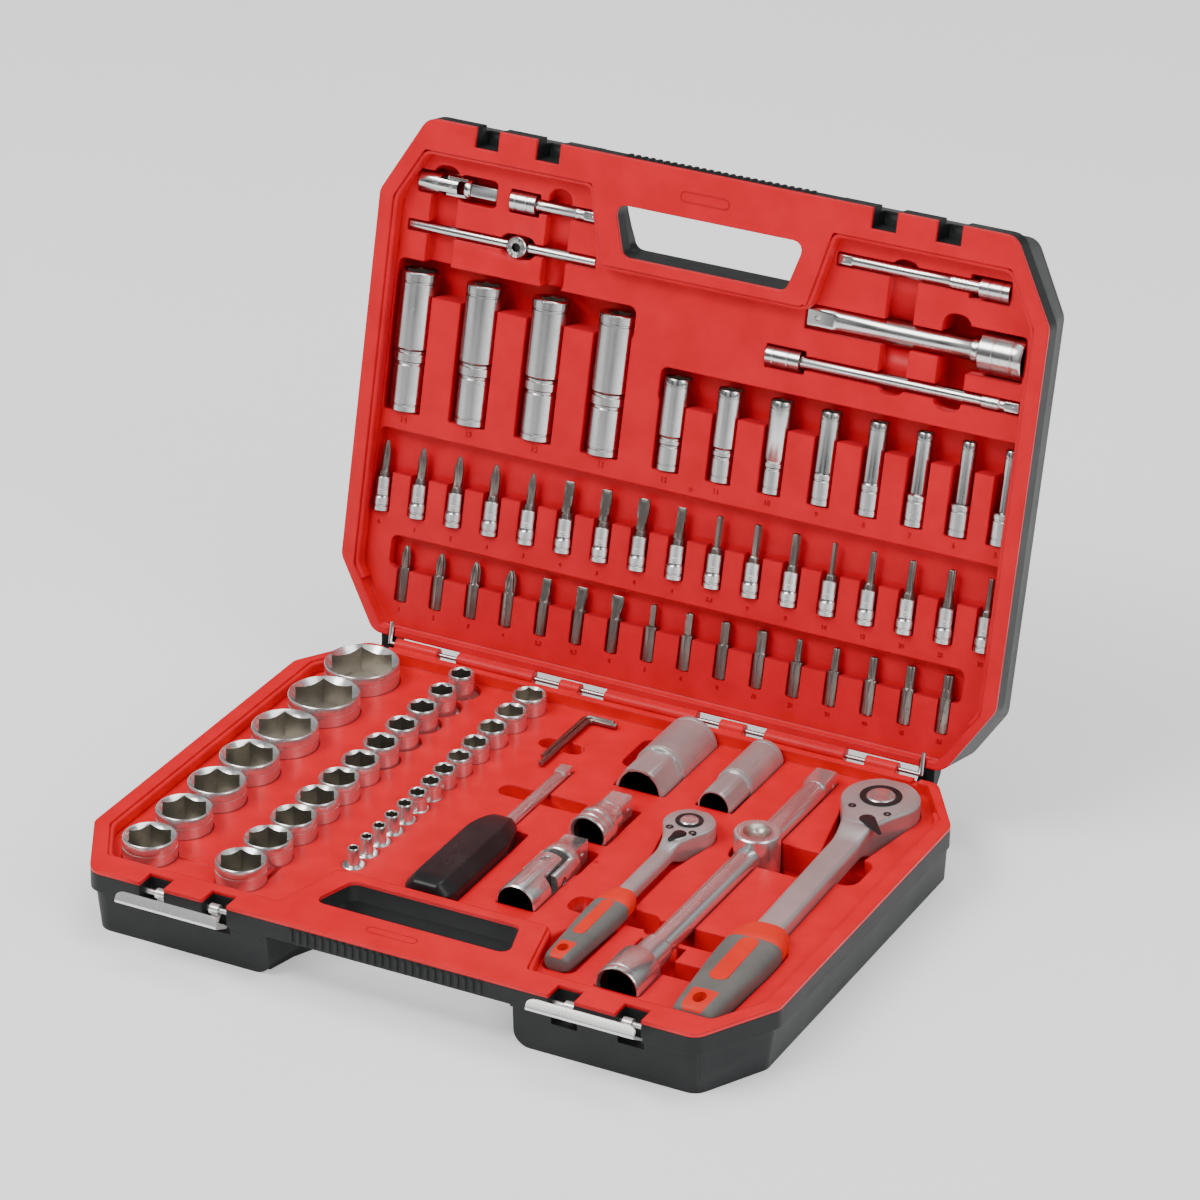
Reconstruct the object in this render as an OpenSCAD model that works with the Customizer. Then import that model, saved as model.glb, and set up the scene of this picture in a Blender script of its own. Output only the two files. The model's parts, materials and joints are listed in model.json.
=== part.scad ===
// Socket wrench set: a two-part blow-moulded case on a wire hinge, with its ratchets, sockets,
// bits and accessories lying in the fitted trays of both halves.
// Places are given as u (left to right from the middle) and v (from the hinge line to the front);
// depths run from a half's rim plane into that half.

/* [Case] */
// Width of the case, side to side
case_w = 385; // [380:1:470]
// Depth of the case, hinge line to front face
case_d = 287; // [285:1:350]
// Height of the lower half, table to rim
base_h = 37; // [37:0.5:46]
// Thickness of the lid, rim to outer face
lid_h = 37; // [37:0.5:46]
// Angle that the lid stands open at, against its stop
lid_open = 103; // [60:1:105]
// Wall of the black outer shells
shell_wall = 2.2; // [1.6:0.1:3]
// Height of the full-width band below each rim
band_h = 12; // [10:0.5:16]
// Draft of each shell below its band, top to bottom
shell_draft = 3; // [1:0.5:5]

/* [Trays] */
// Thickness of the trays' sheet
tray_t = 2; // [1.4:0.1:2.4]
// Wall and floor of a tool cup
cup_wall = 1.2; // [0.8:0.1:1.6]
// Width of the flat border round a tray
border_w = 8; // [6:0.5:10]
// Depth of the lower tray's panel below the rim
base_panel = 7; // [5:0.5:9]
// Depth of the lid tray's panel below the rim
lid_panel = 8.5; // [7:0.5:10]
// Gap between a tool and its pocket, each side
pocket_gap = 0.4; // [0.2:0.1:0.8]

/* [Handle] */
// Width of the hand hole at its front edge
hole_w = 110; // [90:1:120]
// Length of the hand hole, front to back
hole_d = 27; // [22:1:32]
// Depth of the grip bar in front of the hand hole
grip_bar_d = 25; // [20:1:30]
// Thickness of one half of the grip bar
grip_bar_h = 11; // [9:0.5:14]

/* [Hinge and latches] */
// Diameter of the hinge wire
wire_d = 2.4; // [2:0.1:3.2]
// Distance of each latch from the middle of the case
latch_u = 114.5; // [105:0.5:125]
// Width of a latch plate
latch_w = 58; // [50:1:62]
// Thickness of the latch sheet
latch_t = 1.2; // [0.8:0.1:1.6]
// Diameter of a latch pin
latch_pin_d = 3; // [2.4:0.1:3.6]
// Distance of a latch pin behind the front face
latch_pin_in = 5.5; // [5:0.5:6.5]
// Distance of a latch pin below the lower rim
latch_pin_drop = 7; // [6:0.5:8]
// Angle that the left latch stands open at
latch_left_open = 58; // [0:1:90]
// Angle that the right latch stands open at
latch_right_open = 50; // [0:1:90]

/* [Half-inch drive tools] */
// Across flats of the large drive square
drive_half = 12.7; // [12:0.1:13]
// Height of a half-inch socket
socket_half_h = 38; // [34:0.5:38]
// Length of the deep half-inch sockets
deep_half_l = 77; // [70:1:80]
// Radius of the large ratchet's head
ratchet_half_r = 20.5; // [18:0.5:22]
// Length of the large ratchet, head centre to grip end
ratchet_half_l = 232; // [200:1:236]
// Diameter of the long extension bar
long_bar_d = 13; // [11:0.5:14]

/* [Quarter-inch drive tools] */
// Across flats of the small drive square
drive_quarter = 6.35; // [6:0.05:6.6]
// Height of a quarter-inch socket
socket_quarter_h = 25; // [22:0.5:27]
// Length of the deep quarter-inch sockets
deep_quarter_l = 50; // [46:1:52]
// Radius of the small ratchet's head
ratchet_quarter_r = 13.6; // [12:0.5:15]
// Length of the small ratchet, head centre to grip end
ratchet_quarter_l = 150; // [130:1:155]
// Diameter of the spinner shank
driver_shank_d = 7; // [6:0.5:8]

/* [Hidden] */
$fn = 48;
eps = 0.01;
seat = 0.02; // running gap of a flat seat
run = 0.05; // radial gap of a turning or sliding fit

rim_gap = 0.3; // each rim stands this far from the hinge axis plane
hinge_y = case_d / 2;
rear_v = 4; // the case stands this far in front of the hinge axis
corner_r = 9;
front_cut = [24, 43]; // corner chamfers, across and along
rear_cut = [24, 38];
body_inset = 3; // the body below the band stands in by this at the front and sides
floor_t = 2;
grow_u = (case_w - 385) / 2; // the outer tools keep their distance from the side walls

// ---------- outlines ----------
function unit(a) = a / norm(a);
function left_of(a) = [-a[1], a[0]];
function turn(a, t) = [a[0] * cos(t) - a[1] * sin(t), a[0] * sin(t) + a[1] * cos(t)];

// Moves every side of a counter-clockwise outline inwards by d
function inset(p, d) = let (n = len(p)) [
    for (i = [0 : n - 1]) let (
        a = left_of(unit(p[i] - p[(i + n - 1) % n])),
        b = left_of(unit(p[(i + 1) % n] - p[i]))
    ) p[i] + d * (a + b) / (1 + a * b)
];

// Rounds every corner of an outline with an arc of radius r
function rounded(p, r, steps = 4) = let (n = len(p)) [
    for (i = [0 : n - 1]) let (
        a = unit(p[i] - p[(i + n - 1) % n]),
        b = unit(p[(i + 1) % n] - p[i]),
        t = atan2(a[0] * b[1] - a[1] * b[0], a * b),
        s = p[i] - a * r * tan(abs(t) / 2),
        c = s + left_of(a) * r * sign(t)
    ) for (k = [0 : steps]) c + turn(s - c, t * k / steps)
];

// The outline of a half, set in by d at the front and sides and flush at the rear
function half_outline(d) = [
    [-case_w / 2 + front_cut[0] + d * 0.3, -case_d + d], [case_w / 2 - front_cut[0] - d * 0.3, -case_d + d],
    [case_w / 2 - d, -case_d + front_cut[1]],
    [case_w / 2 - d, -rear_v - rear_cut[1] + d * rear_cut[1] / rear_cut[0]],
    [case_w / 2 - rear_cut[0], -rear_v], [-case_w / 2 + rear_cut[0], -rear_v],
    [-case_w / 2 + d, -rear_v - rear_cut[1] + d * rear_cut[1] / rear_cut[0]],
    [-case_w / 2 + d, -case_d + front_cut[1]]
];
rim_outline = half_outline(0);

hole_front = case_d - grip_bar_d;
hole_rear = hole_front - hole_d;
hole_outline = rounded([
    [-hole_w / 2, -hole_front], [hole_w / 2, -hole_front],
    [hole_w / 2 - 8, -hole_rear], [-hole_w / 2 + 8, -hole_rear]
], 5);
// The bay under the grip bar, between the two deep front corners
bay_rear = hole_rear - 2;
bay_w = hole_w + 3; // at its rear edge
bay_flare = 0.24;
function bay_half(v) = bay_w / 2 + (v - bay_rear) * bay_flare;
bay_outline = [
    [-bay_half(case_d + 5), -case_d - 5], [bay_half(case_d + 5), -case_d - 5],
    [bay_half(bay_rear), -bay_rear], [-bay_half(bay_rear), -bay_rear]
];
// The sunken panel of a tray, which steps round the bay
panel_front = case_d - 17;
panel_back = rear_v + 4.2;
step_rear = bay_rear - shell_wall - cup_wall - 1;
step_gap = shell_wall + cup_wall + 0.2;
panel_outline = rounded([
    [-case_w / 2 + border_w + 16, -panel_front], [-bay_half(panel_front) - step_gap, -panel_front],
    [-bay_half(step_rear) - step_gap, -step_rear], [bay_half(step_rear) + step_gap, -step_rear],
    [bay_half(panel_front) + step_gap, -panel_front], [case_w / 2 - border_w - 16, -panel_front],
    [case_w / 2 - border_w, -panel_front + 28], [case_w / 2 - border_w, -panel_back - rear_cut[1] + 8],
    [case_w / 2 - border_w - 20, -panel_back], [-case_w / 2 + border_w + 20, -panel_back],
    [-case_w / 2 + border_w, -panel_back - rear_cut[1] + 8], [-case_w / 2 + border_w, -panel_front + 28]
], 2, 2);

module slab(outline, low, high) {
    translate([0, 0, low]) linear_extrude(high - low) polygon(outline);
}

module in_base() {
    translate([0, hinge_y, base_h]) children();
}

// Lid parts are drawn like base parts, rim up, and turned over to stand open at the hinge
module in_lid() {
    translate([0, hinge_y, base_h + rim_gap]) rotate([180 - lid_open, 0, 0])
        translate([0, 0, -rim_gap]) mirror([0, 1, 0]) children();
}

// ---------- shells ----------
notch_w = 14; // width of a latch slot in a rim
notch_d = 11;
tongue_w = 22; // between the two slots of a latch
block_w = latch_w + 2 * (1.5 + shell_wall);

module tapered(d_top, d_low, wall, low, high) {
    hull() {
        slab(rounded(inset(half_outline(d_top), wall), corner_r), high - eps, high);
        slab(rounded(inset(half_outline(d_low), wall), corner_r), low, low + eps);
    }
}

module bay(grow, h) {
    slab(rounded(inset(bay_outline, -grow), 6), -h - 1, -grip_bar_h + grow);
}

module latch_blocks(h) {
    for (s = [-1, 1])
        translate([s * latch_u - block_w / 2, -case_d, -h])
            cube([block_w, notch_d + shell_wall, h]);
}

module latch_slots() {
    for (s = [-1, 1], k = [-1, 1])
        translate([s * latch_u + k * (tongue_w + notch_w) / 2 - notch_w / 2, -case_d - 1, -band_h - 6])
            cube([notch_w, notch_d + 1, band_h + 7]);
}

module half_shell(h) {
    difference() {
        union() {
            slab(rounded(rim_outline, corner_r), -band_h, -tray_t - seat);
            tapered(body_inset, body_inset + shell_draft, 0, -h, -band_h + eps);
        }
        difference() {
            union() {
                slab(rounded(inset(rim_outline, shell_wall), corner_r), -band_h + shell_wall, 1);
                tapered(body_inset, body_inset + shell_draft, shell_wall, -h + floor_t,
                    -band_h + shell_wall + 1);
            }
            bay(shell_wall, h);
            slab(inset(hole_outline, -shell_wall), -h, 2);
            latch_blocks(h);
        }
        bay(0, h);
        slab(hole_outline, -h - 1, 1);
        latch_slots();
    }
}

grip_rib_n = 26;
grip_rib_pitch = 4.2;
module grip_ribs() {
    for (i = [0 : grip_rib_n - 1])
        translate([(i - (grip_rib_n - 1) / 2) * grip_rib_pitch - 0.9, -case_d - 0.8, -grip_bar_h + 1])
            cube([1.8, 1.4, grip_bar_h - tray_t - 2]);
}

stop_w = 9;
stop_u = case_w / 2 - rear_cut[0] - stop_w - 5;
// The stops' tops lie along the lid's rear face when the lid is open
function stop_top(v) = rim_gap + (rear_v - 0.3) / sin(lid_open) - v / tan(lid_open);
module lid_stops() {
    for (s = [-1, 1])
        translate([s * (stop_u + stop_w / 2) - stop_w / 2, 0, 0])
            rotate([90, 0, 90]) linear_extrude(stop_w) polygon([
                [-rear_v - 1, -band_h + 1], [-rear_v - 1, -4], [0.5, -4], [2, -2.5],
                [2, stop_top(-2)], [11, stop_top(-11)], [11, -2], [3, -band_h + 1]
            ]);
}

latch_pin = [case_d - latch_pin_in, -latch_pin_drop]; // v and z of a latch pin
pin_seat = 3; // depth of a pin's end in the wall of its slot
pin_l = tongue_w + 2 * (notch_w + pin_seat);
module latch_pin_rod(r, more = 0) {
    for (s = [-1, 1])
        translate([s * latch_u - pin_l / 2 - more, -latch_pin[0], latch_pin[1]])
            rotate([0, 90, 0]) cylinder(h = pin_l + 2 * more, r = r);
}

module base_shell() {
    color([0.2, 0.21, 0.21]) in_base() {
        difference() {
            half_shell(base_h);
            latch_pin_rod(latch_pin_d / 2 + seat, 0.1);
        }
        grip_ribs();
        lid_stops();
    }
}

module lid_shell() {
    color([0.2, 0.21, 0.21]) in_lid() {
        half_shell(lid_h);
        grip_ribs();
    }
}

// ---------- hinge and latches ----------
wire_end = stop_u + 2.5;
wire_bend = 12;
knuckle_r = 3.4;
groove_w = wire_d + 1;
// Hinge knuckles alternate along the wire: [start, length], from the left
base_knuckles = [[-153, 26], [-53, 12], [42, 14], [126, 18]];
lid_knuckles = [[-115, 46], [-26, 54], [68, 46]];

module wire_line(r) {
    translate([-wire_end - 1, 0, rim_gap]) rotate([0, 90, 0]) cylinder(h = 2 * wire_end + 2, r = r);
}

module knuckles(list) {
    for (k = list)
        translate([k[0], 0, 0]) {
            translate([0, 0, rim_gap]) rotate([0, 90, 0]) cylinder(h = k[1], r = knuckle_r);
            translate([0, -rear_v + seat, rim_gap - knuckle_r]) cube([k[1], rear_v, knuckle_r - rim_gap]);
            translate([0, -rear_v - 2, -tray_t]) cube([k[1], rear_v, tray_t]);
        }
}

// Grooves in both rims for the bent ends of the wire
module wire_grooves() {
    for (s = [-1, 1])
        translate([s * wire_end - groove_w / 2, -wire_bend - 2.5, -wire_d / 2 - 0.4])
            cube([groove_w, wire_bend + 3, wire_d]);
}

module hinge_wire() {
    color([0.75, 0.75, 0.74]) in_lid() {
        translate([-wire_end, 0, rim_gap]) rotate([0, 90, 0]) cylinder(h = 2 * wire_end, r = wire_d / 2);
        for (s = [-1, 1])
            translate([s * wire_end, 0, rim_gap]) {
                sphere(wire_d / 2);
                rotate([90, 0, 0]) cylinder(h = wire_bend, r = wire_d / 2);
            }
    }
}

// A latch about its pin: closed, its plate stands up in front of both rims, on two arms that
// reach through the slots, and its lip lies over the shoulder of the lid's band
catch_top = latch_pin_drop + 2 * rim_gap + band_h + 0.7;
knuckle_pin_r = latch_pin_d / 2 + run;
plate_gap = 0.4; // between the closed plate and the front face
plate_y = latch_pin_in + plate_gap;
plate_low = 6; // the full width begins this far above the pin
plate_lean = 2; // the plate's top stands out by this
lip_in = latch_pin_in - body_inset + 0.5; // the lip's tip, in front of the pin
arm_w = 5;
arm_u = tongue_w / 2 + notch_w / 2 - 2.5;
module latch_arm_shape() {
    difference() {
        union() {
            circle(knuckle_pin_r + latch_t);
            translate([-plate_y - latch_t, -knuckle_pin_r - latch_t]) square([plate_y + latch_t, latch_t]);
            translate([-plate_y - latch_t, -knuckle_pin_r - latch_t])
                square([latch_t, plate_low + knuckle_pin_r + latch_t + 1]);
        }
        circle(knuckle_pin_r);
    }
}
module latch_plate_shape() {
    bend = 1.6; // radius outside the bend
    difference() {
        hull() {
            translate([-plate_y - latch_t, plate_low]) square([latch_t, eps]);
            translate([-plate_y - latch_t - plate_lean + bend, catch_top + latch_t - bend]) circle(bend);
            translate([-lip_in - 0.4, catch_top + latch_t - 0.6]) circle(0.6);
            translate([-lip_in - 0.4, catch_top]) square([0.4, latch_t - 0.6]);
        }
        polygon([
            [-plate_y, plate_low - 1], [-plate_y, plate_low + 0.5],
            [-plate_y - plate_lean, catch_top - 0.4], [-plate_y - plate_lean + 0.4, catch_top],
            [0, catch_top], [0, plate_low - 1]
        ]);
    }
}
module latch_plate() {
    rotate([90, 0, 90]) {
        for (s = [-1, 1])
            translate([0, 0, s * arm_u - arm_w / 2]) linear_extrude(arm_w) latch_arm_shape();
        translate([0, 0, -latch_w / 2]) linear_extrude(latch_w) latch_plate_shape();
    }
}

module latch(side, open) {
    color([0.8, 0.8, 0.78]) in_base()
        translate([side * latch_u, -latch_pin[0], latch_pin[1]]) rotate([open, 0, 0]) latch_plate();
}
module latch_left() { latch(-1, latch_left_open); }
module latch_right() { latch(1, latch_right_open); }

module latch_pins() {
    color([0.7, 0.7, 0.68]) in_base() latch_pin_rod(latch_pin_d / 2);
}

// ---------- trays ----------
// A round-cornered pocket shape, given by its middle, width and length
module block2(u, v, w, l, r = 1.5) {
    polygon(rounded([
        [u - w / 2, -v - l / 2], [u + w / 2, -v - l / 2],
        [u + w / 2, -v + l / 2], [u - w / 2, -v + l / 2]
    ], min(r, w / 2 - 0.1, l / 2 - 0.1), 3));
}

// The same shape given by its four edges
module edges2(left, right, rear, front, r = 1.5) {
    block2((left + right) / 2, (rear + front) / 2, right - left, front - rear, r);
}

module round2(u, v, r) {
    translate([u, -v]) circle(r);
}

// A pocket level: its shape is child 0, wall is added outside it for the cup
module cut(depth, panel) {
    translate([0, 0, -depth]) linear_extrude(depth - panel + eps) children();
}

module tray(panel, list) {
    difference() {
        union() {
            translate([0, 0, -tray_t]) linear_extrude(tray_t) difference() {
                polygon(rounded(rim_outline, corner_r));
                polygon(hole_outline);
            }
            slab(inset(panel_outline, -cup_wall), -panel - cup_wall, -eps);
            children(0);
            knuckles(list);
        }
        slab(panel_outline, -panel, 1);
        children(1);
        wire_line(wire_d / 2 + run);
        wire_grooves();
        latch_slots();
    }
}

// ---------- places of the tools in the base ----------
column_a = -156 - grow_u; // large half-inch sockets
column_b = -102.8; // small half-inch sockets
column_c = -61; // quarter-inch sockets
top_half = 4.6; // a standing half-inch socket ends this far above the rim
top_quarter = 3;
gap = pocket_gap;

large_sizes = [21, 22, 23, 24, 27, 30, 32];
large_v = [250, 216.7, 184.2, 151.5, 115, 74, 33];
function large_d(s) = s < 25 ? 28 + (s - 21) * 1.2 : 35.5 + (s - 27) * 1.0;
small_v = [250, 223.2, 197.8, 173.7, 151.2, 129.2, 107.2, 84.8, 62.6, 41, 19.6];
small_foot_d = 20.6;
function small_size(i) = 20 - i;
function small_d(i) = small_size(i) * 1.22 + 1.8;
quarter_sizes = [4, 4.5, 5, 5.5, 6, 7, 8, 9, 10, 11, 12, 13, 14];
quarter_v = [210, 196.5, 183.5, 170.5, 157, 143.5, 129.5, 115, 99, 81.5, 62.5, 42, 21];
quarter_foot_d = 12;
function quarter_d(s) = s * 1.2 + 1.6;

driver_u = -12;
driver_z = -6.5;
driver_front = 226;
driver_handle_l = 85;
driver_handle_w = 28;
driver_handle_h = 22;
driver_shank_l = 70;
key_u = -26;
key_d = [3, 2.5];
adapter_u = 31;
adapter_v = [93, 133]; // rear and front ends
joint_u = 30.4;
joint_v = [142, 209];
tilt_room = 0.7; // the tilting end's lower edge swings back by this
plug_a_u = 30.4;
plug_a_v = [9.5, 73];
plug_b_u = 73;
plug_b_v = [9.5, 72];
bar_u = 111.5;
bar_v = [17, 258];
head_v = 101; // where the sliding head stands on the bar
axis_z = -6; // the axis of the tools lying in the base
plug_a_z = -7.6; // the large spark-plug socket lies lower, clear of the lid's bits
plug_a_d = 29;
plug_b_d = 20.5;
driven_d = 21.5; // outside of a half-inch female end
bar_socket_d = 24;
head_d = 24.4;
head_stroke = 4; // each way along the bar, inside its pocket

ratchet_at = [[150.5 + grow_u, 36], [75, 104.5]]; // head centres
ratchet_top = [3.2, 2.4];
ratchet_head_h = [20, 14];
ratchet_yaw = [1.5, 0.6];
ratchet_r = [ratchet_half_r, ratchet_quarter_r];
ratchet_l = [ratchet_half_l, ratchet_quarter_l];
ratchet_stub = [15, 9]; // the drive square's length
neck_w = [15.5, 9];
neck_h = [11, 7.5];
grip_w = [31, 19.4];
grip_end_w = [24, 17];
grip_h = [17, 12];
grip_l = [92, 76];
hang_hole_r = [3.4, 3]; // the hole to hang each ratchet by

// The plan of a ratchet grip, front end at the origin's far side
function grip_plan(k, more) = rounded([
    [-grip_end_w[k] / 2 - more, -ratchet_l[k] - more], [grip_end_w[k] / 2 + more, -ratchet_l[k] - more],
    [grip_w[k] / 2 + more, -ratchet_l[k] + grip_l[k] * 0.62], [grip_w[k] / 2 + more, -ratchet_l[k] + grip_l[k] * 0.85],
    [neck_w[k] / 2 + 2 + more, -ratchet_l[k] + grip_l[k] + more], [-neck_w[k] / 2 - 2 - more, -ratchet_l[k] + grip_l[k] + more],
    [-grip_w[k] / 2 - more, -ratchet_l[k] + grip_l[k] * 0.85], [-grip_w[k] / 2 - more, -ratchet_l[k] + grip_l[k] * 0.62]
], grip_end_w[k] * 0.3, 5);

function ratchet_low(k) = ratchet_top[k] - ratchet_head_h[k];

module at_ratchet(k) {
    translate([ratchet_at[k][0], -ratchet_at[k][1], ratchet_top[k]]) rotate([0, 0, ratchet_yaw[k]]) children();
}

// The tapering throat between a head and its shank
module neck_pocket(k, more) {
    r = ratchet_r[k];
    n = neck_w[k] / 2;
    throat = n + (r - n) * 0.44;
    polygon([
        [-r - more, 0], [-throat - more, -r * 1.85 - more], [-n - more, -r * 3.2 - more],
        [n + more, -r * 3.2 - more], [throat + more, -r * 1.85 - more], [r + more, 0]
    ]);
}

module ratchet_place2(k) {
    translate([ratchet_at[k][0], -ratchet_at[k][1]]) rotate([0, 0, ratchet_yaw[k]]) children();
}

// Depths of the pocket levels in the base
base_levels = [
    socket_half_h - top_half + 0.1,
    socket_quarter_h - top_quarter + 0.1,
    ratchet_stub[0] - ratchet_low(0) + 0.1,
    ratchet_stub[1] - ratchet_low(1) + 0.1,
    -ratchet_low(0) + 0.1,
    -ratchet_low(1) + 0.1,
    bar_socket_d / 2 - axis_z + 0.1,
    plug_a_d / 2 - plug_a_z + 0.1,
    driver_shank_d / 2 - driver_z + 0.1
];

// All pockets of the base at one level, grown by more
module base_pockets(level, more) {
    if (level == 0) {
        for (i = [0 : len(large_v) - 1]) round2(column_a, large_v[i], large_d(large_sizes[i]) / 2 + gap + more);
        for (i = [0 : len(small_v) - 1])
            round2(column_b, small_v[i], max(small_foot_d, small_d(i)) / 2 + gap * 0.5 + more);
        edges2(bar_u - head_d / 2 - gap - more, bar_u + head_d / 2 + gap + more,
            head_v - head_d / 2 - head_stroke - gap - more, head_v + head_d / 2 + head_stroke + gap + more, 12);
    }
    if (level == 1)
        for (i = [0 : len(quarter_v) - 1])
            round2(column_c, quarter_v[i], max(quarter_foot_d, quarter_d(quarter_sizes[i])) / 2 + gap * 0.5 + more);
    if (level == 2) round2(ratchet_at[0][0], ratchet_at[0][1], 12 + more);
    if (level == 3) round2(ratchet_at[1][0], ratchet_at[1][1], 6.5 + more);
    if (level == 4) {
        round2(ratchet_at[0][0], ratchet_at[0][1], ratchet_r[0] + gap + more);
        ratchet_place2(0) {
            neck_pocket(0, gap + more);
            polygon(grip_plan(0, gap + more));
            block2(0, ratchet_l[0] / 2 - 20, neck_w[0] + 2 * gap + 2 * more, ratchet_l[0] * 0.6, 1);
        }
    }
    if (level == 5) {
        round2(ratchet_at[1][0], ratchet_at[1][1], ratchet_r[1] + gap + more);
        ratchet_place2(1) {
            neck_pocket(1, gap + more);
            polygon(grip_plan(1, gap + more));
            block2(0, ratchet_l[1] / 2 - 20, neck_w[1] + 4 + 2 * gap + 2 * more, ratchet_l[1] * 0.6, 1);
        }
    }
    if (level == 6) {
        // the bar, the joint, the adapter and the small plug socket
        edges2(bar_u - long_bar_d / 2 - gap - more, bar_u + long_bar_d / 2 + gap + more,
            bar_v[0] - gap - more, bar_v[1] + gap + more);
        edges2(bar_u - bar_socket_d / 2 - gap - more, bar_u + bar_socket_d / 2 + gap + more,
            bar_v[1] - 52, bar_v[1] + gap + more, 1);
        edges2(joint_u - driven_d / 2 - gap - more, joint_u + driven_d / 2 + gap + more,
            joint_v[0] - gap - tilt_room - more, joint_v[1] + gap + more, 1);
        edges2(adapter_u - driven_d / 2 - gap - more, adapter_u + driven_d / 2 + gap + more,
            adapter_v[0] - gap - more, adapter_v[1] + gap + more, 1);
        edges2(joint_u - driven_d / 2 - 2 - more, joint_u + driven_d / 2 + 2 + more,
            joint_v[0] - gap - tilt_room - more, joint_v[0] + 26 + more, 3);
        edges2(plug_b_u - plug_b_d / 2 - gap - more, plug_b_u + plug_b_d / 2 + gap + more,
            plug_b_v[0] - gap - more, plug_b_v[1] + gap + more, 1);
        edges2(driver_u - driver_handle_w / 2 - gap - more, driver_u + driver_handle_w / 2 + gap + more,
            driver_front - driver_handle_l - gap - more, driver_front + gap + more, 2);
        // finger room by the keys, the shank and the grips
        edges2(-40 - more, -14 + more, 43 - more, 54 + more, 5);
        edges2(-34 - more, 16 + more, 98 - more, 110 + more, 5);
        edges2(52 - more, 100 + more, 183 - more, 199 + more, 6);
    }
    if (level == 7) {
        edges2(plug_a_u - plug_a_d / 2 - gap - more, plug_a_u + plug_a_d / 2 + gap + more,
            plug_a_v[0] - gap - more, plug_a_v[1] + gap + more, 1);
        edges2(8 - more, plug_a_u + more, 19 - more, 52 + more, 6);
        // finger room beside the bar and the large ratchet
        edges2(bar_u + more, ratchet_at[0][0] - more, 88 - more, 116 + more, 7);
        edges2(ratchet_at[0][0], ratchet_at[0][0] + 20 + more, 84 - more, 112 + more, 7);
        edges2(96 - more, 142 + more, 186 - more, 203 + more, 7);
        edges2(100, 160 + more, 219 - more, 233 + more, 6);
    }
    if (level == 8) {
        edges2(driver_u - driver_shank_d / 2 - gap - more, driver_u + driver_shank_d / 2 + gap + more,
            driver_front - driver_handle_l - driver_shank_l - gap - more, driver_front - driver_handle_l + 4);
    }
}

module base_cups() {
    for (i = [0 : len(base_levels) - 1])
        translate([0, 0, -base_levels[i] - cup_wall])
            linear_extrude(base_levels[i] + cup_wall - base_panel) base_pockets(i, cup_wall);
}

module base_cuts() {
    for (i = [0 : len(base_levels) - 1])
        translate([0, 0, -base_levels[i]]) linear_extrude(base_levels[i]) base_pockets(i, 0);
}

module base_tray() {
    color([0.94, 0.27, 0.25]) in_base() tray(base_panel, base_knuckles) {
        base_cups();
        base_cuts();
    }
}

// ---------- places of the tools in the lid ----------
deep_half_w = 15; // depths of the tools' axes below the lid's rim
deep_quarter_w = 13;
tip_w = 9.8;
bit_w = 11;
rod_w = 12;
large_rod_w = 15;
deep_half_n = 4;
deep_quarter_n = 8;
tip_n = 17;
bit_n = 16;
deep_v = 125.4; // rear ends of the deep sockets
function deep_half_u(i) = -170.2 - grow_u + i * 39.7;
function deep_quarter_u(i) = -12 + i * (31.3 - 0.6 * i); // closer together as they get thinner
deep_half_d = [19, 21.5]; // nose, foot
function deep_half_size(i) = 14 - i;
function deep_quarter_size(i) = 12 - i;
function deep_quarter_d(i) = deep_quarter_size(i) * 1.15 + 1.2;
deep_quarter_foot_d = 12;
function deep_quarter_wide(i) = max(deep_quarter_d(i), deep_quarter_foot_d);
tip_v = [69, 108];
function tip_u(i) = -176.5 + i * 22.12;
bit_v = [21.5, 52.5];
function bit_u(i) = -158.5 + i * 21.3;
strip_a = [116, 127]; // rear and front edges of the label strips
strip_b = [57.4, 67.8];
strip_c = [14, 20.5];
land_bits = 39; // how far the tools' lands reach
land_tips = 91;
land_quarter = 161;
land_half = 190;

t_bar_u = [-178, -66];
t_bar_v = 226.7;
t_bar_d = 6;
t_head_d = 12;
t_head_u = -112;
ext50_u = [-119, -67.5];
ext50_v = 250.5;
joint_q_u = [-173.8, -127.7];
joint_q_v = 251.5;
ext100_u = [70, 166.4];
ext100_v = 255.5;
ext125_u = [56.7, 178.5];
ext125_v = 222.8;
ext150_u = [37.2, 179.2];
ext150_v = 198;
rod_d = 7; // shafts of the quarter-inch extensions
rod_end_d = 12;
rod_125_d = 13;

lid_levels = [
    deep_half_w + deep_half_d[1] / 2 + 0.1,
    deep_quarter_w + deep_quarter_d(0) / 2 + 0.1,
    tip_w + 5.1,
    bit_w + 3.8,
    rod_w + t_bar_d / 2 + 0.1,
    rod_w + rod_d / 2 + 0.2,
    rod_w + rod_end_d / 2 + 0.1,
    large_rod_w + 12.1
];

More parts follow.
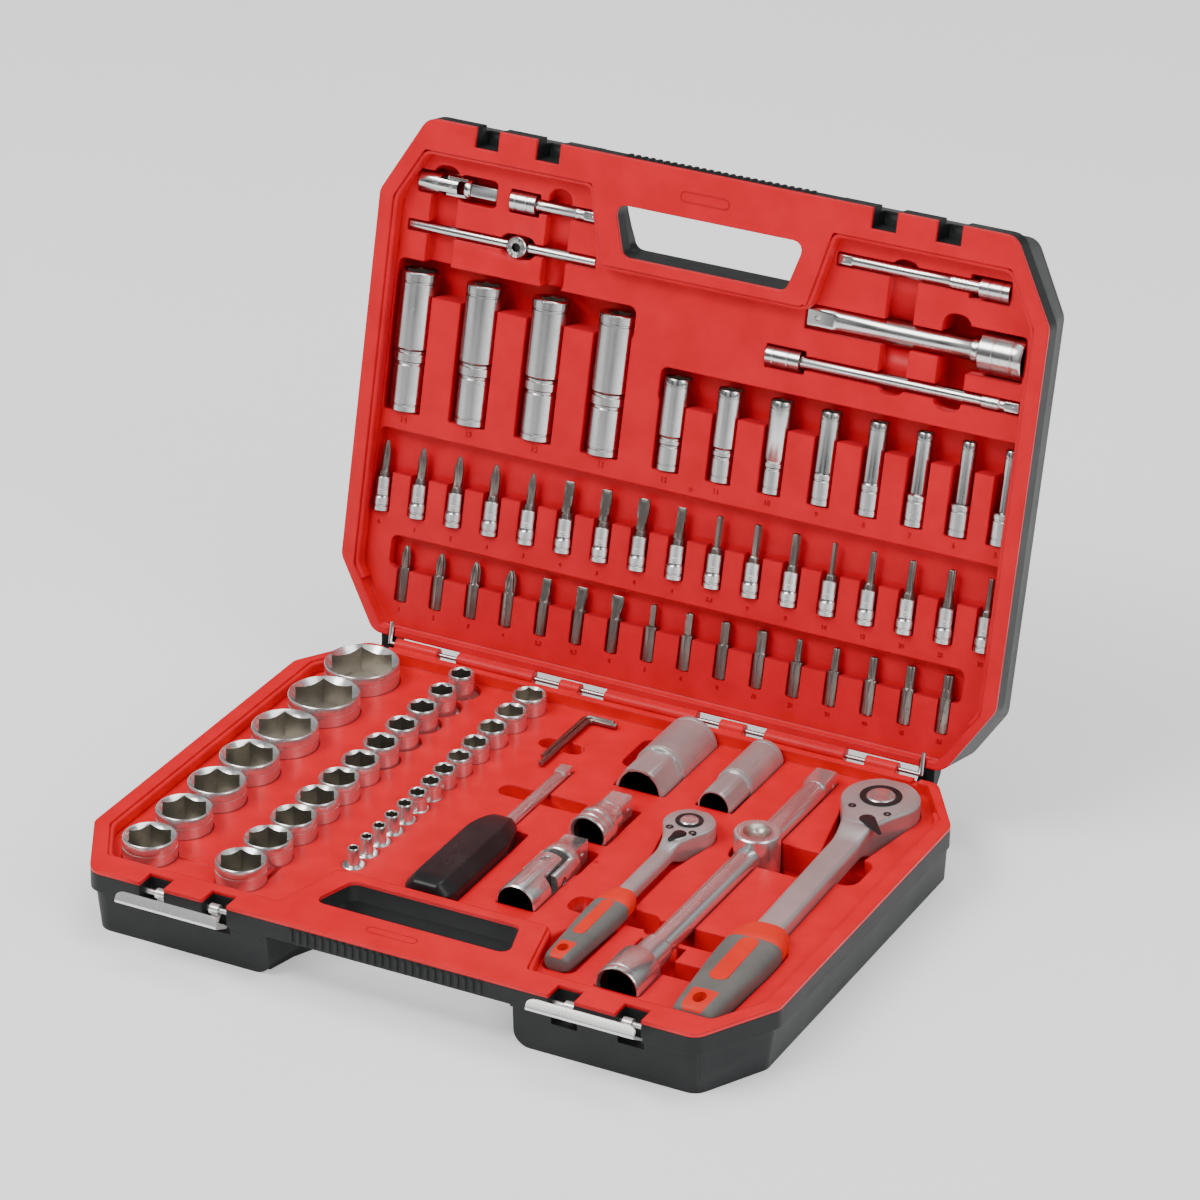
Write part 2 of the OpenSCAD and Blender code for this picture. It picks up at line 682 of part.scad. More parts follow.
module lid_pockets(level, more) {
    m = gap + more;
    if (level == 0) {
        for (i = [0 : deep_half_n - 1])
            edges2(deep_half_u(i) - deep_half_d[1] / 2 - m, deep_half_u(i) + deep_half_d[1] / 2 + m,
                deep_v - m, deep_v + deep_half_l + m, 1);
        edges2(deep_half_u(0) - 11 - more, deep_half_u(deep_half_n - 1) + 12 + more,
            land_half - more, deep_v + deep_half_l + 6 + more, 4);
    }
    if (level == 1) {
        for (i = [0 : deep_quarter_n - 1])
            edges2(deep_quarter_u(i) - deep_quarter_wide(i) / 2 - m, deep_quarter_u(i) + deep_quarter_wide(i) / 2 + m,
                deep_v - m, deep_v + deep_quarter_l + m, 1);
        edges2(deep_quarter_u(0) - 9 - more, deep_quarter_u(deep_quarter_n - 1) + 6.5 + more,
            land_quarter - more, deep_v + deep_quarter_l + 5 + more, 4);
    }
    if (level == 2) {
        for (i = [0 : tip_n - 1])
            edges2(tip_u(i) - 5 - m, tip_u(i) + 5 + m, tip_v[0] - m, land_tips + 3, 1);
        edges2(tip_u(0) - 5 - m, tip_u(tip_n - 1) + 5 + m, land_tips - more, strip_a[0] - 1 + more, 4);
    }
    if (level == 3) {
        for (i = [0 : bit_n - 1])
            edges2(bit_u(i) - 3.3 - m, bit_u(i) + 3.3 + m, bit_v[0] - m, land_bits + 3, 1);
        edges2(bit_u(0) - 9 - more, bit_u(bit_n - 1) + 9 + more, land_bits - more, strip_b[0] + more, 4);
    }
    if (level == 4) edges2(t_bar_u[0] - m, t_bar_u[1] + m, t_bar_v - t_bar_d / 2 - m, t_bar_v + t_bar_d / 2 + m, 1);
    if (level == 5) {
        for (e = [[ext50_u, ext50_v], [ext100_u, ext100_v], [ext150_u, ext150_v]])
            edges2(e[0][0] - m, e[0][1] + m, e[1] - rod_d / 2 - m, e[1] + rod_d / 2 + m, 1);
        // finger room across the rods
        edges2(-166 - more, -150 + more, 190 - more, 262 + more, 6);
        edges2(-97 - more, -83 + more, 206 - more, 262 + more, 6);
        edges2(100 - more, 116 + more, 191 - more, 262 + more, 6);
    }
    if (level == 6) {
        edges2(joint_q_u[0] - m, joint_q_u[1] + m, joint_q_v - rod_end_d / 2 - m, joint_q_v + rod_end_d / 2 + m, 1);
        edges2(joint_q_u[1] - 22 - more, joint_q_u[1] + m, joint_q_v - 7.5 - more, joint_q_v + 7.5 + more, 3);
        edges2(ext50_u[0] - m, ext50_u[0] + 17 + m, ext50_v - rod_end_d / 2 - m, ext50_v + rod_end_d / 2 + m, 1);
        edges2(ext100_u[1] - 22 - m, ext100_u[1] + m, ext100_v - rod_end_d / 2 - m, ext100_v + rod_end_d / 2 + m, 1);
        edges2(ext150_u[0] - m, ext150_u[0] + 22 + m, ext150_v - rod_end_d / 2 - m, ext150_v + rod_end_d / 2 + m, 1);
    }
    if (level == 7) {
        edges2(ext125_u[0] - m, ext125_u[1] + m, ext125_v - rod_125_d / 2 - m, ext125_v + rod_125_d / 2 + m, 1);
        edges2(ext125_u[1] - 38 - m, ext125_u[1] + m, ext125_v - 12 - m, ext125_v + 12 + m, 2);
        edges2(t_head_u - t_head_d / 2 - head_stroke - m, t_head_u + t_head_d / 2 + head_stroke + m,
            t_bar_v - t_head_d / 2 - m, t_bar_v + t_head_d / 2 + m, 5);
        edges2(132 - more, 148 + more, 189 - more, 240 + more, 6);
    }
}

module lid_cups() {
    for (i = [0 : len(lid_levels) - 1])
        translate([0, 0, -lid_levels[i] - cup_wall])
            linear_extrude(lid_levels[i] + cup_wall - lid_panel) lid_pockets(i, cup_wall);
}

module lid_cuts() {
    for (i = [0 : len(lid_levels) - 1])
        translate([0, 0, -lid_levels[i]]) linear_extrude(lid_levels[i]) lid_pockets(i, 0);
}

module lid_tray() {
    color([0.88, 0.24, 0.24]) in_lid() tray(lid_panel, lid_knuckles) {
        lid_cups();
        lid_cuts();
    }
}

// ---------- sockets ----------
module hexagon(across) {
    circle(across / 2 / cos(30), $fn = 6);
}

// A turned blank from [radius, height] steps, with its ends chamfered
module turned(steps) {
    n = len(steps);
    rotate_extrude() polygon(concat([[0, 0]],
        [for (i = [0 : n - 1]) each [
            if (i == 0) [steps[0][0] - 0.7, 0],
            [steps[i][0], i == 0 ? 0.7 : steps[i - 1][1] + abs(steps[i][0] - steps[i - 1][0]) * 0.6],
            [steps[i][0], steps[i][1] - (i == n - 1 ? 0.7 : 0)],
            if (i == n - 1) [steps[i][0] - 0.7, steps[i][1]]
        ]], [[0, steps[n - 1][1]]]));
}

// The bores of a socket: hexagon from the top, square from the foot
module socket_bores(h, size, drive, hex_depth) {
    translate([0, 0, h - hex_depth]) linear_extrude(hex_depth + 1) hexagon(size + 0.15);
    translate([0, 0, h - size * 0.1]) cylinder(h = size * 0.1 + eps, r1 = size * 0.5, r2 = size * 0.62);
    translate([0, 0, -1]) linear_extrude(drive * 0.95 + 1) square(drive + 0.2, center = true);
    translate([0, 0, drive * 0.5]) cylinder(h = h - hex_depth - drive * 0.5 + eps, r = min(size, drive) * 0.42);
}

module socket(h, d, foot_d, size, drive) {
    foot_h = h * 0.62;
    difference() {
        turned([[max(foot_d, d) / 2, foot_h], [d / 2, h]]);
        socket_bores(h, size, drive, h * 0.4);
        translate([0, 0, foot_h * 0.55]) rotate_extrude()
            polygon([[max(foot_d, d) / 2 - 0.5, 0.5], [max(foot_d, d) / 2 + 1, 0], [max(foot_d, d) / 2 + 1, 2.4], [max(foot_d, d) / 2 - 0.5, 1.9]]);
    }
}

module sockets_half_large() {
    color([0.78, 0.78, 0.76]) in_base()
        for (i = [0 : len(large_v) - 1])
            translate([column_a, -large_v[i], top_half - socket_half_h])
                socket(socket_half_h, large_d(large_sizes[i]), 26, large_sizes[i], drive_half);
}

module sockets_half_small() {
    color([0.78, 0.78, 0.76]) in_base()
        for (i = [0 : len(small_v) - 1])
            translate([column_b, -small_v[i], top_half - socket_half_h])
                socket(socket_half_h, small_d(i), small_foot_d, small_size(i), drive_half);
}

module sockets_quarter() {
    color([0.78, 0.78, 0.76]) in_base()
        for (i = [0 : len(quarter_v) - 1])
            translate([column_c, -quarter_v[i], top_quarter - socket_quarter_h])
                socket(socket_quarter_h, quarter_d(quarter_sizes[i]), quarter_foot_d, quarter_sizes[i], drive_quarter);
}

module deep_sockets_half() {
    color([0.78, 0.78, 0.76]) in_lid()
        for (i = [0 : deep_half_n - 1])
            translate([deep_half_u(i), -deep_v, -deep_half_w]) rotate([90, 0, 0]) difference() {
                turned([[deep_half_d[1] / 2, 12], [deep_half_d[0] / 2, 27], [deep_half_d[1] / 2, 33], [deep_half_d[0] / 2, deep_half_l]]);
                socket_bores(deep_half_l, deep_half_size(i), drive_half, 24);
            }
}

module deep_sockets_quarter() {
    color([0.78, 0.78, 0.76]) in_lid()
        for (i = [0 : deep_quarter_n - 1])
            translate([deep_quarter_u(i), -deep_v, -deep_quarter_w]) rotate([90, 0, 0]) difference() {
                turned([[deep_quarter_wide(i) / 2, 15], [deep_quarter_d(i) / 2, deep_quarter_l]]);
                socket_bores(deep_quarter_l, deep_quarter_size(i), drive_quarter, 18);
            }
}

plug_sleeve_t = 2;
// A spark-plug socket: the foot towards the hinge, a hexagon for a spanner at the other end
module plug_socket(v, d, across, size, drive, u, z) {
    l = v[1] - v[0];
    translate([u, -v[0], z]) rotate([90, 0, 0]) difference() {
        union() {
            turned([[d / 2, l * 0.62]]);
            translate([0, 0, l * 0.5]) linear_extrude(l * 0.5) hexagon(across);
        }
        socket_bores(l, size, drive, l * 0.28);
        translate([0, 0, l * 0.3]) cylinder(h = l * 0.5, r = size * 0.48);
    }
}

module plug_socket_large() {
    color([0.78, 0.78, 0.76]) in_base()
        plug_socket(plug_a_v, plug_a_d, plug_a_d * 0.86, 21, drive_half, plug_a_u, plug_a_z);
}

module plug_socket_small() {
    color([0.78, 0.78, 0.76]) in_base()
        plug_socket(plug_b_v, plug_b_d, plug_b_d * 0.86, 14, drive_half * 0.75, plug_b_u, axis_z);
}

module plug_socket_sleeves() {
    color([0.1, 0.1, 0.1]) in_base()
        for (p = [[plug_a_u, plug_a_v, 21, plug_a_z], [plug_b_u, plug_b_v, 14, axis_z]])
            translate([p[0], -p[1][0] - (p[1][1] - p[1][0]) * 0.45, p[3]]) rotate([90, 0, 0]) difference() {
                cylinder(h = 14, r = p[2] * 0.48 - seat);
                translate([0, 0, -1]) cylinder(h = 16, r = p[2] * 0.48 - plug_sleeve_t);
            }
}

// ---------- bits ----------
tip_bore = 6.5;
module bit_sockets() {
    color([0.75, 0.75, 0.73]) in_lid()
        for (i = [0 : tip_n - 1])
            translate([tip_u(i), -tip_v[0], -tip_w]) rotate([90, 0, 0]) difference() {
                turned([[5, 8], [4.4, 19]]);
                translate([0, 0, -1]) linear_extrude(7) square(drive_quarter + 0.1, center = true);
                translate([0, 0, 10]) linear_extrude(10) hexagon(tip_bore * 0.85 + 2 * seat);
            }
}

// Outlines of the bits' ends
module star(r) {
    circle(r * 0.78);
    for (k = [0 : 5]) rotate([0, 0, 60 * k]) translate([r * 0.72, 0]) circle(r * 0.28);
}

module cross_end(r, l) {
    for (a = [0, 90]) rotate([90, 0, a]) translate([0, 0, -r * 0.25]) linear_extrude(r * 0.5)
        polygon([[-r * 0.97, 0], [r * 0.97, 0], [r * 0.3, l], [-r * 0.3, l]]);
}

module bit_end(kind, k, l) {
    if (kind == 0) {
        cylinder(h = l - 5, r = 2.3 + 0.2 * k);
        translate([0, 0, l - 5 - eps]) cross_end(2.3 + 0.2 * k, 5);
    }
    if (kind == 1) rotate([90, 0, 0]) translate([0, 0, -0.6]) linear_extrude(1.2)
        polygon([[-2.2, -eps], [2.2, -eps], [2.2, l - 8], [2.4 + 0.4 * k, l - 5], [2.4 + 0.4 * k, l], [-2.4 - 0.4 * k, l], [-2.4 - 0.4 * k, l - 5], [-2.2, l - 8]]);
    if (kind == 2) linear_extrude(l) hexagon(3 + 0.8 * k);
    if (kind == 3) linear_extrude(l) star(1.7 + 0.28 * k);
}

module bit_socket_tips() {
    color([0.36, 0.34, 0.33]) in_lid()
        for (i = [0 : tip_n - 1])
            translate([tip_u(i), -tip_v[0] - 10.1, -tip_w]) rotate([90, 0, 0]) {
                linear_extrude(12) hexagon(tip_bore * 0.85);
                translate([0, 0, 12 - eps]) bit_end([0, 1, 2, 3][floor(i / 4.3)], i % 4 * 0.8, tip_v[1] - tip_v[0] - 22);
            }
}

bit_shank = 6.35;
module bit_row(kind, first, last) {
    color([0.36, 0.34, 0.33]) in_lid()
        for (i = [first : last])
            translate([bit_u(i), -bit_v[0], -bit_w]) rotate([90, 0, 0]) rotate([0, 0, 30]) {
                linear_extrude(17) hexagon(bit_shank);
                rotate([0, 0, -30]) translate([0, 0, 17 - eps]) bit_end(kind, i - first, bit_v[1] - bit_v[0] - 17);
            }
}
module bits_cross() { bit_row(0, 0, 3); }
module bits_slotted() { bit_row(1, 4, 6); }
module bits_hex() { bit_row(2, 7, 10); }
module bits_star() { bit_row(3, 11, 15); }

// ---------- bars and extensions ----------
// A male square along +z with a small ball catch
module square_end(drive, l) {
    c = drive * 0.09;
    translate([0, 0, -eps]) linear_extrude(l - c) square(drive, center = true);
    intersection() {
        translate([0, 0, l - c - eps]) linear_extrude(c) square(drive - 0.6 * c, center = true);
        cylinder(h = l, r = drive * 0.68);
    }
    translate([drive / 2 - drive * 0.1, 0, l * 0.55]) sphere(drive * 0.16);
}

// An extension along +z: female end at the origin, male square at the far end
module extension(l, d, end_d, end_l, drive) {
    difference() {
        turned([[end_d / 2, end_l], [d / 2, l - drive * 1.25]]);
        translate([0, 0, -1]) linear_extrude(drive * 1.1) square(drive + 0.2, center = true);
    }
    translate([0, 0, l - drive * 1.25]) square_end(drive, drive * 1.25);
}

module long_extension() {
    color([0.8, 0.8, 0.79]) in_base()
        translate([bar_u, -bar_v[1], axis_z]) rotate([-90, 0, 0]) {
            extension(bar_v[1] - bar_v[0], long_bar_d, bar_socket_d, 36, drive_half);
            translate([0, 0, 45]) cylinder(h = 5, r = long_bar_d / 2 + 1.2);
        }
}

module sliding_head() {
    color([0.78, 0.78, 0.76]) in_base() translate([bar_u, -head_v, 0]) difference() {
        union() {
            translate([0, 0, top_half]) mirror([0, 0, 1]) turned([[head_d / 2, 23]]);
            translate([0, 0, top_half - 23]) mirror([0, 0, 1])
                square_end(drive_half, socket_half_h - 23);
        }
        translate([0, head_d, axis_z]) rotate([90, 0, 0]) cylinder(h = 2 * head_d, r = long_bar_d / 2 + run);
        translate([0, 0, top_half - 1]) cylinder(h = 2, r1 = 2.5, r2 = 4.5);
    }
}

module extension_50() {
    color([0.8, 0.8, 0.79]) in_lid() translate([ext50_u[0], -ext50_v, -rod_w]) rotate([0, 90, 0])
        extension(ext50_u[1] - ext50_u[0], rod_d, rod_end_d, 16, drive_quarter);
}
module extension_100() {
    color([0.8, 0.8, 0.79]) in_lid() translate([ext100_u[1], -ext100_v, -rod_w]) rotate([0, -90, 0])
        extension(ext100_u[1] - ext100_u[0], rod_d, rod_end_d, 20, drive_quarter);
}
module extension_125() {
    color([0.8, 0.8, 0.79]) in_lid() translate([ext125_u[1], -ext125_v, -large_rod_w]) rotate([0, -90, 0])
        extension(ext125_u[1] - ext125_u[0], rod_125_d, 24, 36, drive_half);
}
module extension_150() {
    color([0.8, 0.8, 0.79]) in_lid() translate([ext150_u[0], -ext150_v, -rod_w]) rotate([0, 90, 0])
        extension(ext150_u[1] - ext150_u[0], rod_d, rod_end_d, 20, drive_quarter);
}

module t_bar() {
    color([0.8, 0.8, 0.79]) in_lid() translate([t_bar_u[0], -t_bar_v, -rod_w]) rotate([0, 90, 0])
        turned([[t_bar_d / 2, t_bar_u[1] - t_bar_u[0]]]);
}

module t_bar_head() {
    color([0.78, 0.78, 0.76]) in_lid() translate([t_head_u, -t_bar_v, -rod_w]) difference() {
        union() {
            translate([0, 0, 5.5]) mirror([0, 0, 1]) turned([[t_head_d / 2, 11]]);
            translate([0, 0, -5.5]) mirror([0, 0, 1]) square_end(drive_quarter, 8);
        }
        translate([-t_head_d, 0, 0]) rotate([0, 90, 0]) cylinder(h = 2 * t_head_d, r = t_bar_d / 2 + run);
        translate([0, 0, 4.6]) cylinder(h = 2, r1 = 1.6, r2 = 3);
    }
}

module drive_adapter() {
    color([0.78, 0.78, 0.76]) in_base() translate([adapter_u, -adapter_v[1], -4]) rotate([-90, 0, 0])
        extension(adapter_v[1] - adapter_v[0], driven_d * 0.8, driven_d, 17, drive_half);
}

// ---------- universal joints, along +z from the socket end, centre of the cross at the origin ----------
module joint_socket_end(r, drive, reach) {
    difference() {
        union() {
            translate([0, 0, r * 1.2]) turned([[r, reach - r * 1.2]]);
            for (s = [-1, 1]) intersection() {
                translate([0, s * r * 0.8, r * 0.4]) cube([r * 1.1, r * 0.38, r * 2], center = true);
                cylinder(h = 4 * r, r = r, center = true);
            }
        }
        translate([0, 0, reach - drive * 1.1]) linear_extrude(drive * 2) square(drive + 0.2, center = true);
        rotate([90, 0, 0]) cylinder(h = 4 * r, r = r * 0.24 + run, center = true);
    }
}

module joint_square_end(r, drive, reach) {
    difference() {
        union() {
            translate([0, 0, -r * 1.2 - r * 0.6]) turned([[r * 0.95, r * 0.6]]);
            for (s = [-1, 1]) intersection() {
                translate([s * r * 0.8, 0, -r * 0.4]) cube([r * 0.38, r * 1.1, r * 2], center = true);
                cylinder(h = 4 * r, r = r, center = true);
            }
            translate([0, 0, -r * 1.8]) mirror([0, 0, 1]) square_end(drive, reach - r * 1.8);
        }
        rotate([0, 90, 0]) cylinder(h = 4 * r, r = r * 0.24 + run, center = true);
    }
}

module joint_cross(r) {
    cube(r * 1.1, center = true);
    for (a = [[90, 0, 0], [0, 90, 0]]) rotate(a) cylinder(h = r * 1.9, r = r * 0.24, center = true);
}

joint_mid = 177;
module at_joint_half() {
    in_base() translate([joint_u, -joint_mid, axis_z]) rotate([90, 0, 0]) children();
}
module joint_half_socket_end() {
    color([0.78, 0.78, 0.76]) at_joint_half() joint_socket_end(driven_d / 2, drive_half, joint_v[1] - joint_mid);
}
module joint_half_cross() {
    color([0.7, 0.7, 0.68]) at_joint_half() joint_cross(driven_d / 2);
}
module joint_half_square_end() {
    color([0.78, 0.78, 0.76]) at_joint_half() joint_square_end(driven_d / 2, drive_half, joint_mid - joint_v[0]);
}

joint_q_mid = joint_q_u[0] + 20;
module at_joint_quarter() {
    in_lid() translate([joint_q_mid, -joint_q_v, -rod_w]) rotate([0, -90, 0]) rotate([0, 0, 90]) children();
}
module joint_quarter_socket_end() {
    color([0.78, 0.78, 0.76]) at_joint_quarter() joint_socket_end(rod_end_d / 2, drive_quarter, joint_q_mid - joint_q_u[0]);
}
module joint_quarter_cross() {
    color([0.7, 0.7, 0.68]) at_joint_quarter() joint_cross(rod_end_d / 2);
}
module joint_quarter_square_end() {
    color([0.78, 0.78, 0.76]) at_joint_quarter() joint_square_end(rod_end_d / 2, drive_quarter, joint_q_u[1] - joint_q_mid);
}

// ---------- spinner and keys ----------
module driver_handle() {
    hw = driver_handle_w / 2;
    hh = driver_handle_h / 2;
    color([0.13, 0.13, 0.13]) in_base() translate([driver_u, -driver_front, driver_z]) difference() {
        intersection() {
            rotate([-90, 0, 0]) linear_extrude(driver_handle_l)
                polygon([[-hw, -5], [-9, -hh], [9, -hh], [hw, -5], [hw, 5], [9, hh], [-9, hh], [-hw, 5]]);
            translate([0, 0, -hh]) linear_extrude(2 * hh) polygon([
                [-hw + 3, 0], [hw - 3, 0], [hw, 4], [hw, driver_handle_l - 20], [hw - 5, driver_handle_l - 6],
                [hw - 8, driver_handle_l], [8 - hw, driver_handle_l], [5 - hw, driver_handle_l - 6],
                [-hw, driver_handle_l - 20], [-hw, 4]
            ]);
        }
        translate([0, driver_handle_l - 30, 0]) rotate([-90, 0, 0]) cylinder(h = 40, r = driver_shank_d / 2 + seat);
        translate([0, -1, 0]) rotate([-90, 0, 0]) linear_extrude(9) square(drive_quarter + 0.2, center = true);
    }
}

module driver_shank() {
    color([0.8, 0.8, 0.79]) in_base()
        translate([driver_u, -driver_front + driver_handle_l - 30, driver_z]) rotate([-90, 0, 0]) {
            turned([[driver_shank_d / 2, 30 + driver_shank_l - 9]]);
            translate([0, 0, 30 + driver_shank_l - 9]) square_end(drive_quarter, 9);
        }
}

key_rise = [0.35, 0.3];
key_long = [56, 50];
key_short = 16;
module hex_keys() {
    color([0.3, 0.3, 0.3]) in_base()
        for (i = [0, 1]) translate([key_u - i * 3.4, -18.5 + i * 3.2, -base_panel + key_d[i] / 2 + key_rise[i]]) {
            r = 4;
            translate([0, -r, 0]) rotate([90, 0, 0]) linear_extrude(key_long[i] - r) rotate(30) hexagon(key_d[i]);
            translate([r, 0, 0]) rotate([0, 90, 0]) linear_extrude(key_short - r) hexagon(key_d[i]);
            translate([r, -r, 0]) rotate([0, 0, 90]) rotate_extrude(angle = 90) translate([r, 0]) rotate(30) hexagon(key_d[i]);
        }
}

// ---------- ratchets, from the head centre, top face at z = 0, handle along -y ----------
cover_t = 2;
floor_low = 3;
gear_n = [36, 32];
tooth_d = [1.2, 0.8];
function gear_r(k) = ratchet_r[k] * 0.68;
function hub_r(k) = ratchet_r[k] * 0.45;
function button_r(k) = ratchet_r[k] * 0.378;
function journal_r(k) = ratchet_r[k] * 0.5;
screw_spots = [[-0.46, -0.75], [0.5, -0.78]]; // of the head's radius
lever_at = [[3, -25], [1.5, -14.5]];
lever_dir = [45, -14];
lever_l = [20, 9];
lever_pin_r = [2.2, 1.5];

module head_plan(k, less) {
    r = ratchet_r[k];
    circle(r - less);
    polygon([
        [-r * 0.97 + less, -r * 0.25], [-neck_w[k] / 2 - (r - neck_w[k] / 2) * 0.44 + less, -r * 1.83 + less],
        [neck_w[k] / 2 + (r - neck_w[k] / 2) * 0.44 - less, -r * 1.83 + less], [r * 0.97 - less, -r * 0.25]
    ]);
}

module neck_plan(k) {
    r = ratchet_r[k];
    n = neck_w[k] / 2;
    polygon([
        [-n - (r - n) * 0.44 + 0.6, -r * 1.7], [-n, -r * 3.1], [-n, -ratchet_l[k] + grip_l[k] - 3],
        [n, -ratchet_l[k] + grip_l[k] - 3], [n, -r * 3.1], [n + (r - n) * 0.44 - 0.6, -r * 1.7]
    ]);
}

module gear_plan(k, more = 0) {
    n = gear_n[k];
    r = gear_r(k);
    polygon([for (i = [0 : n - 1], p = [0, 1]) (r - tooth_d[k] * p) * [cos(360 * (i + p / 2) / n), sin(360 * (i + p / 2) / n)]]);
}

tang_w = [9, 5];
tang_h = [7, 4.5];
module ratchet_body(k) {
    h = ratchet_head_h[k];
    r = ratchet_r[k];
    mid = -grip_h[k] / 2;
    difference() {
        union() {
            translate([0, 0, -h]) linear_extrude(h) head_plan(k, 0);
            translate([0, 0, mid - neck_h[k] / 2]) linear_extrude(neck_h[k]) neck_plan(k);
            translate([-tang_w[k] / 2, -ratchet_l[k] + 16, mid - tang_h[k] / 2]) cube([tang_w[k], grip_l[k] - 14, tang_h[k]]);
        }
        translate([0, 0, -cover_t]) linear_extrude(cover_t + 1) head_plan(k, 1.6);
        translate([0, 0, -h + floor_low]) cylinder(h = h, r = gear_r(k) + 0.4);
        translate([0, 0, -h - 1]) cylinder(h = h, r = journal_r(k) + run);
        for (p = screw_spots) translate([p[0] * r, p[1] * r, -7]) cylinder(h = 8, r = 1.1);
        translate([lever_at[k][0], lever_at[k][1], -cover_t - 4]) cylinder(h = 6, r = lever_pin_r[k] + 0.3);
    }
}

module ratchet_cover(k) {
    r = ratchet_r[k];
    difference() {
        translate([0, 0, -cover_t + seat]) linear_extrude(cover_t - seat) head_plan(k, 1.6 + run);
        translate([0, 0, -5]) cylinder(h = 10, r = hub_r(k) + run);
        for (p = screw_spots) translate([p[0] * r, p[1] * r, -5]) {
            cylinder(h = 10, r = 1.15);
            translate([0, 0, 3.9]) cylinder(h = 2, r = 2.1);
        }
        translate([lever_at[k][0], lever_at[k][1], -5]) cylinder(h = 10, r = lever_pin_r[k] + run);
    }
}

module ratchet_screws(k) {
    r = ratchet_r[k];
    for (p = screw_spots) translate([p[0] * r, p[1] * r, 0]) difference() {
        union() {
            translate([0, 0, -6.5]) cylinder(h = 6, r = 1.1 - seat);
            translate([0, 0, -1.1 + seat]) cylinder(h = 1.3, r = 2.1 - seat);
        }
        translate([-0.25, -1.5, -0.3]) cube([0.5, 3, 1]);
        translate([-1.5, -0.25, -0.3]) cube([3, 0.5, 1]);
    }
}

module ratchet_drive(k) {
    h = ratchet_head_h[k];
    difference() {
        union() {
            translate([0, 0, -h + floor_low + 0.3]) linear_extrude(h - floor_low - cover_t - 0.6) gear_plan(k);
            translate([0, 0, -h]) cylinder(h = h - cover_t, r = journal_r(k));
            translate([0, 0, -cover_t - 1]) cylinder(h = cover_t + 1 - run, r = hub_r(k));
            translate([0, 0, -h]) mirror([0, 0, 1]) square_end(ratchet_drive_size(k), ratchet_stub[k]);
        }
        translate([0, 0, -button_travel(k) - 2.6]) cylinder(h = 10, r = button_r(k) + run);
    }
}
function ratchet_drive_size(k) = [drive_half, drive_quarter][k];
function button_travel(k) = [1.8, 1.2][k];
dial_t = 0.8;

module ratchet_dial(k) {
    difference() {
        translate([0, 0, seat]) cylinder(h = dial_t - seat, r = ratchet_r[k] * 0.537);
        translate([0, 0, -1]) cylinder(h = 4, r = button_r(k) + run + 0.1);
    }
}

module ratchet_button(k) {
    translate([0, 0, -2.4]) turned([[button_r(k), 2.4 + dial_t + 0.2]]);
}

module ratchet_lever(k) {
    translate([lever_at[k][0], lever_at[k][1], 0]) rotate([0, 0, lever_dir[k]]) {
        translate([0, 0, -cover_t - 3.5]) cylinder(h = cover_t + 3.6, r = lever_pin_r[k]);
        translate([0, 0, seat]) cylinder(h = dial_t, r = lever_pin_r[k] + 2);
        translate([-lever_pin_r[k] - 1, -lever_l[k], seat]) cube([2 * lever_pin_r[k] + 2, lever_l[k], dial_t]);
    }
}

insert_t = 1;
function insert_plan(k, less) = rounded([
    [-grip_end_w[k] / 2 + 6 + less, -ratchet_l[k] + grip_l[k] * 0.3 + less],
    [grip_end_w[k] / 2 - 6 - less, -ratchet_l[k] + grip_l[k] * 0.3 + less],
    [grip_w[k] / 2 - 7 - less, -ratchet_l[k] + grip_l[k] * 0.78 - less],
    [7 - grip_w[k] / 2 + less, -ratchet_l[k] + grip_l[k] * 0.78 - less]
], 1.8, 4);

module ratchet_grip(k) {
    l = ratchet_l[k];
    g = grip_h[k];
    mid = -g / 2;
    e = grip_w[k] * 0.14;
    difference() {
        intersection() {
            translate([0, 0, -g]) linear_extrude(g) polygon(grip_plan(k, 0));
            translate([-50, 0, 0]) rotate([90, 0, 90]) linear_extrude(100) polygon([
                [-l, -g + 2.5], [-l + 2.5, -g + 1], [-l + grip_l[k] * 0.7, -g], [-l + grip_l[k] - 2, -g + 2], [-l + grip_l[k], -g + 3.5],
                [-l + grip_l[k], -3.5], [-l + grip_l[k] - 2, -2], [-l + grip_l[k] * 0.7, 0], [-l + 2.5, -1], [-l, -2.5]
            ]);
            translate([0, 0, mid]) rotate([90, 0, 0]) linear_extrude(l + 1)
                polygon(rounded([
                    [-grip_w[k] / 2, -g / 2], [grip_w[k] / 2, -g / 2], [grip_w[k] / 2, g / 2], [-grip_w[k] / 2, g / 2]
                ], g * 0.32, 5));
        }
        translate([-tang_w[k] / 2 - seat, -l + 16 - seat, mid - tang_h[k] / 2 - seat])
            cube([tang_w[k] + 2 * seat, grip_l[k], tang_h[k] + 2 * seat]);
        translate([-neck_w[k] / 2 - seat, -l + grip_l[k] - 3 - seat, mid - neck_h[k] / 2 - seat])
            cube([neck_w[k] + 2 * seat, 10, neck_h[k] + 2 * seat]);
        translate([0, -l + 8.5, -g - 1]) cylinder(h = g + 2, r = hang_hole_r[k]);
        slab(insert_plan(k, 0), -insert_t, 1);
    }
}

module ratchet_grip_insert(k) {
    slab(insert_plan(k, seat), -insert_t + seat, -0.1);
}

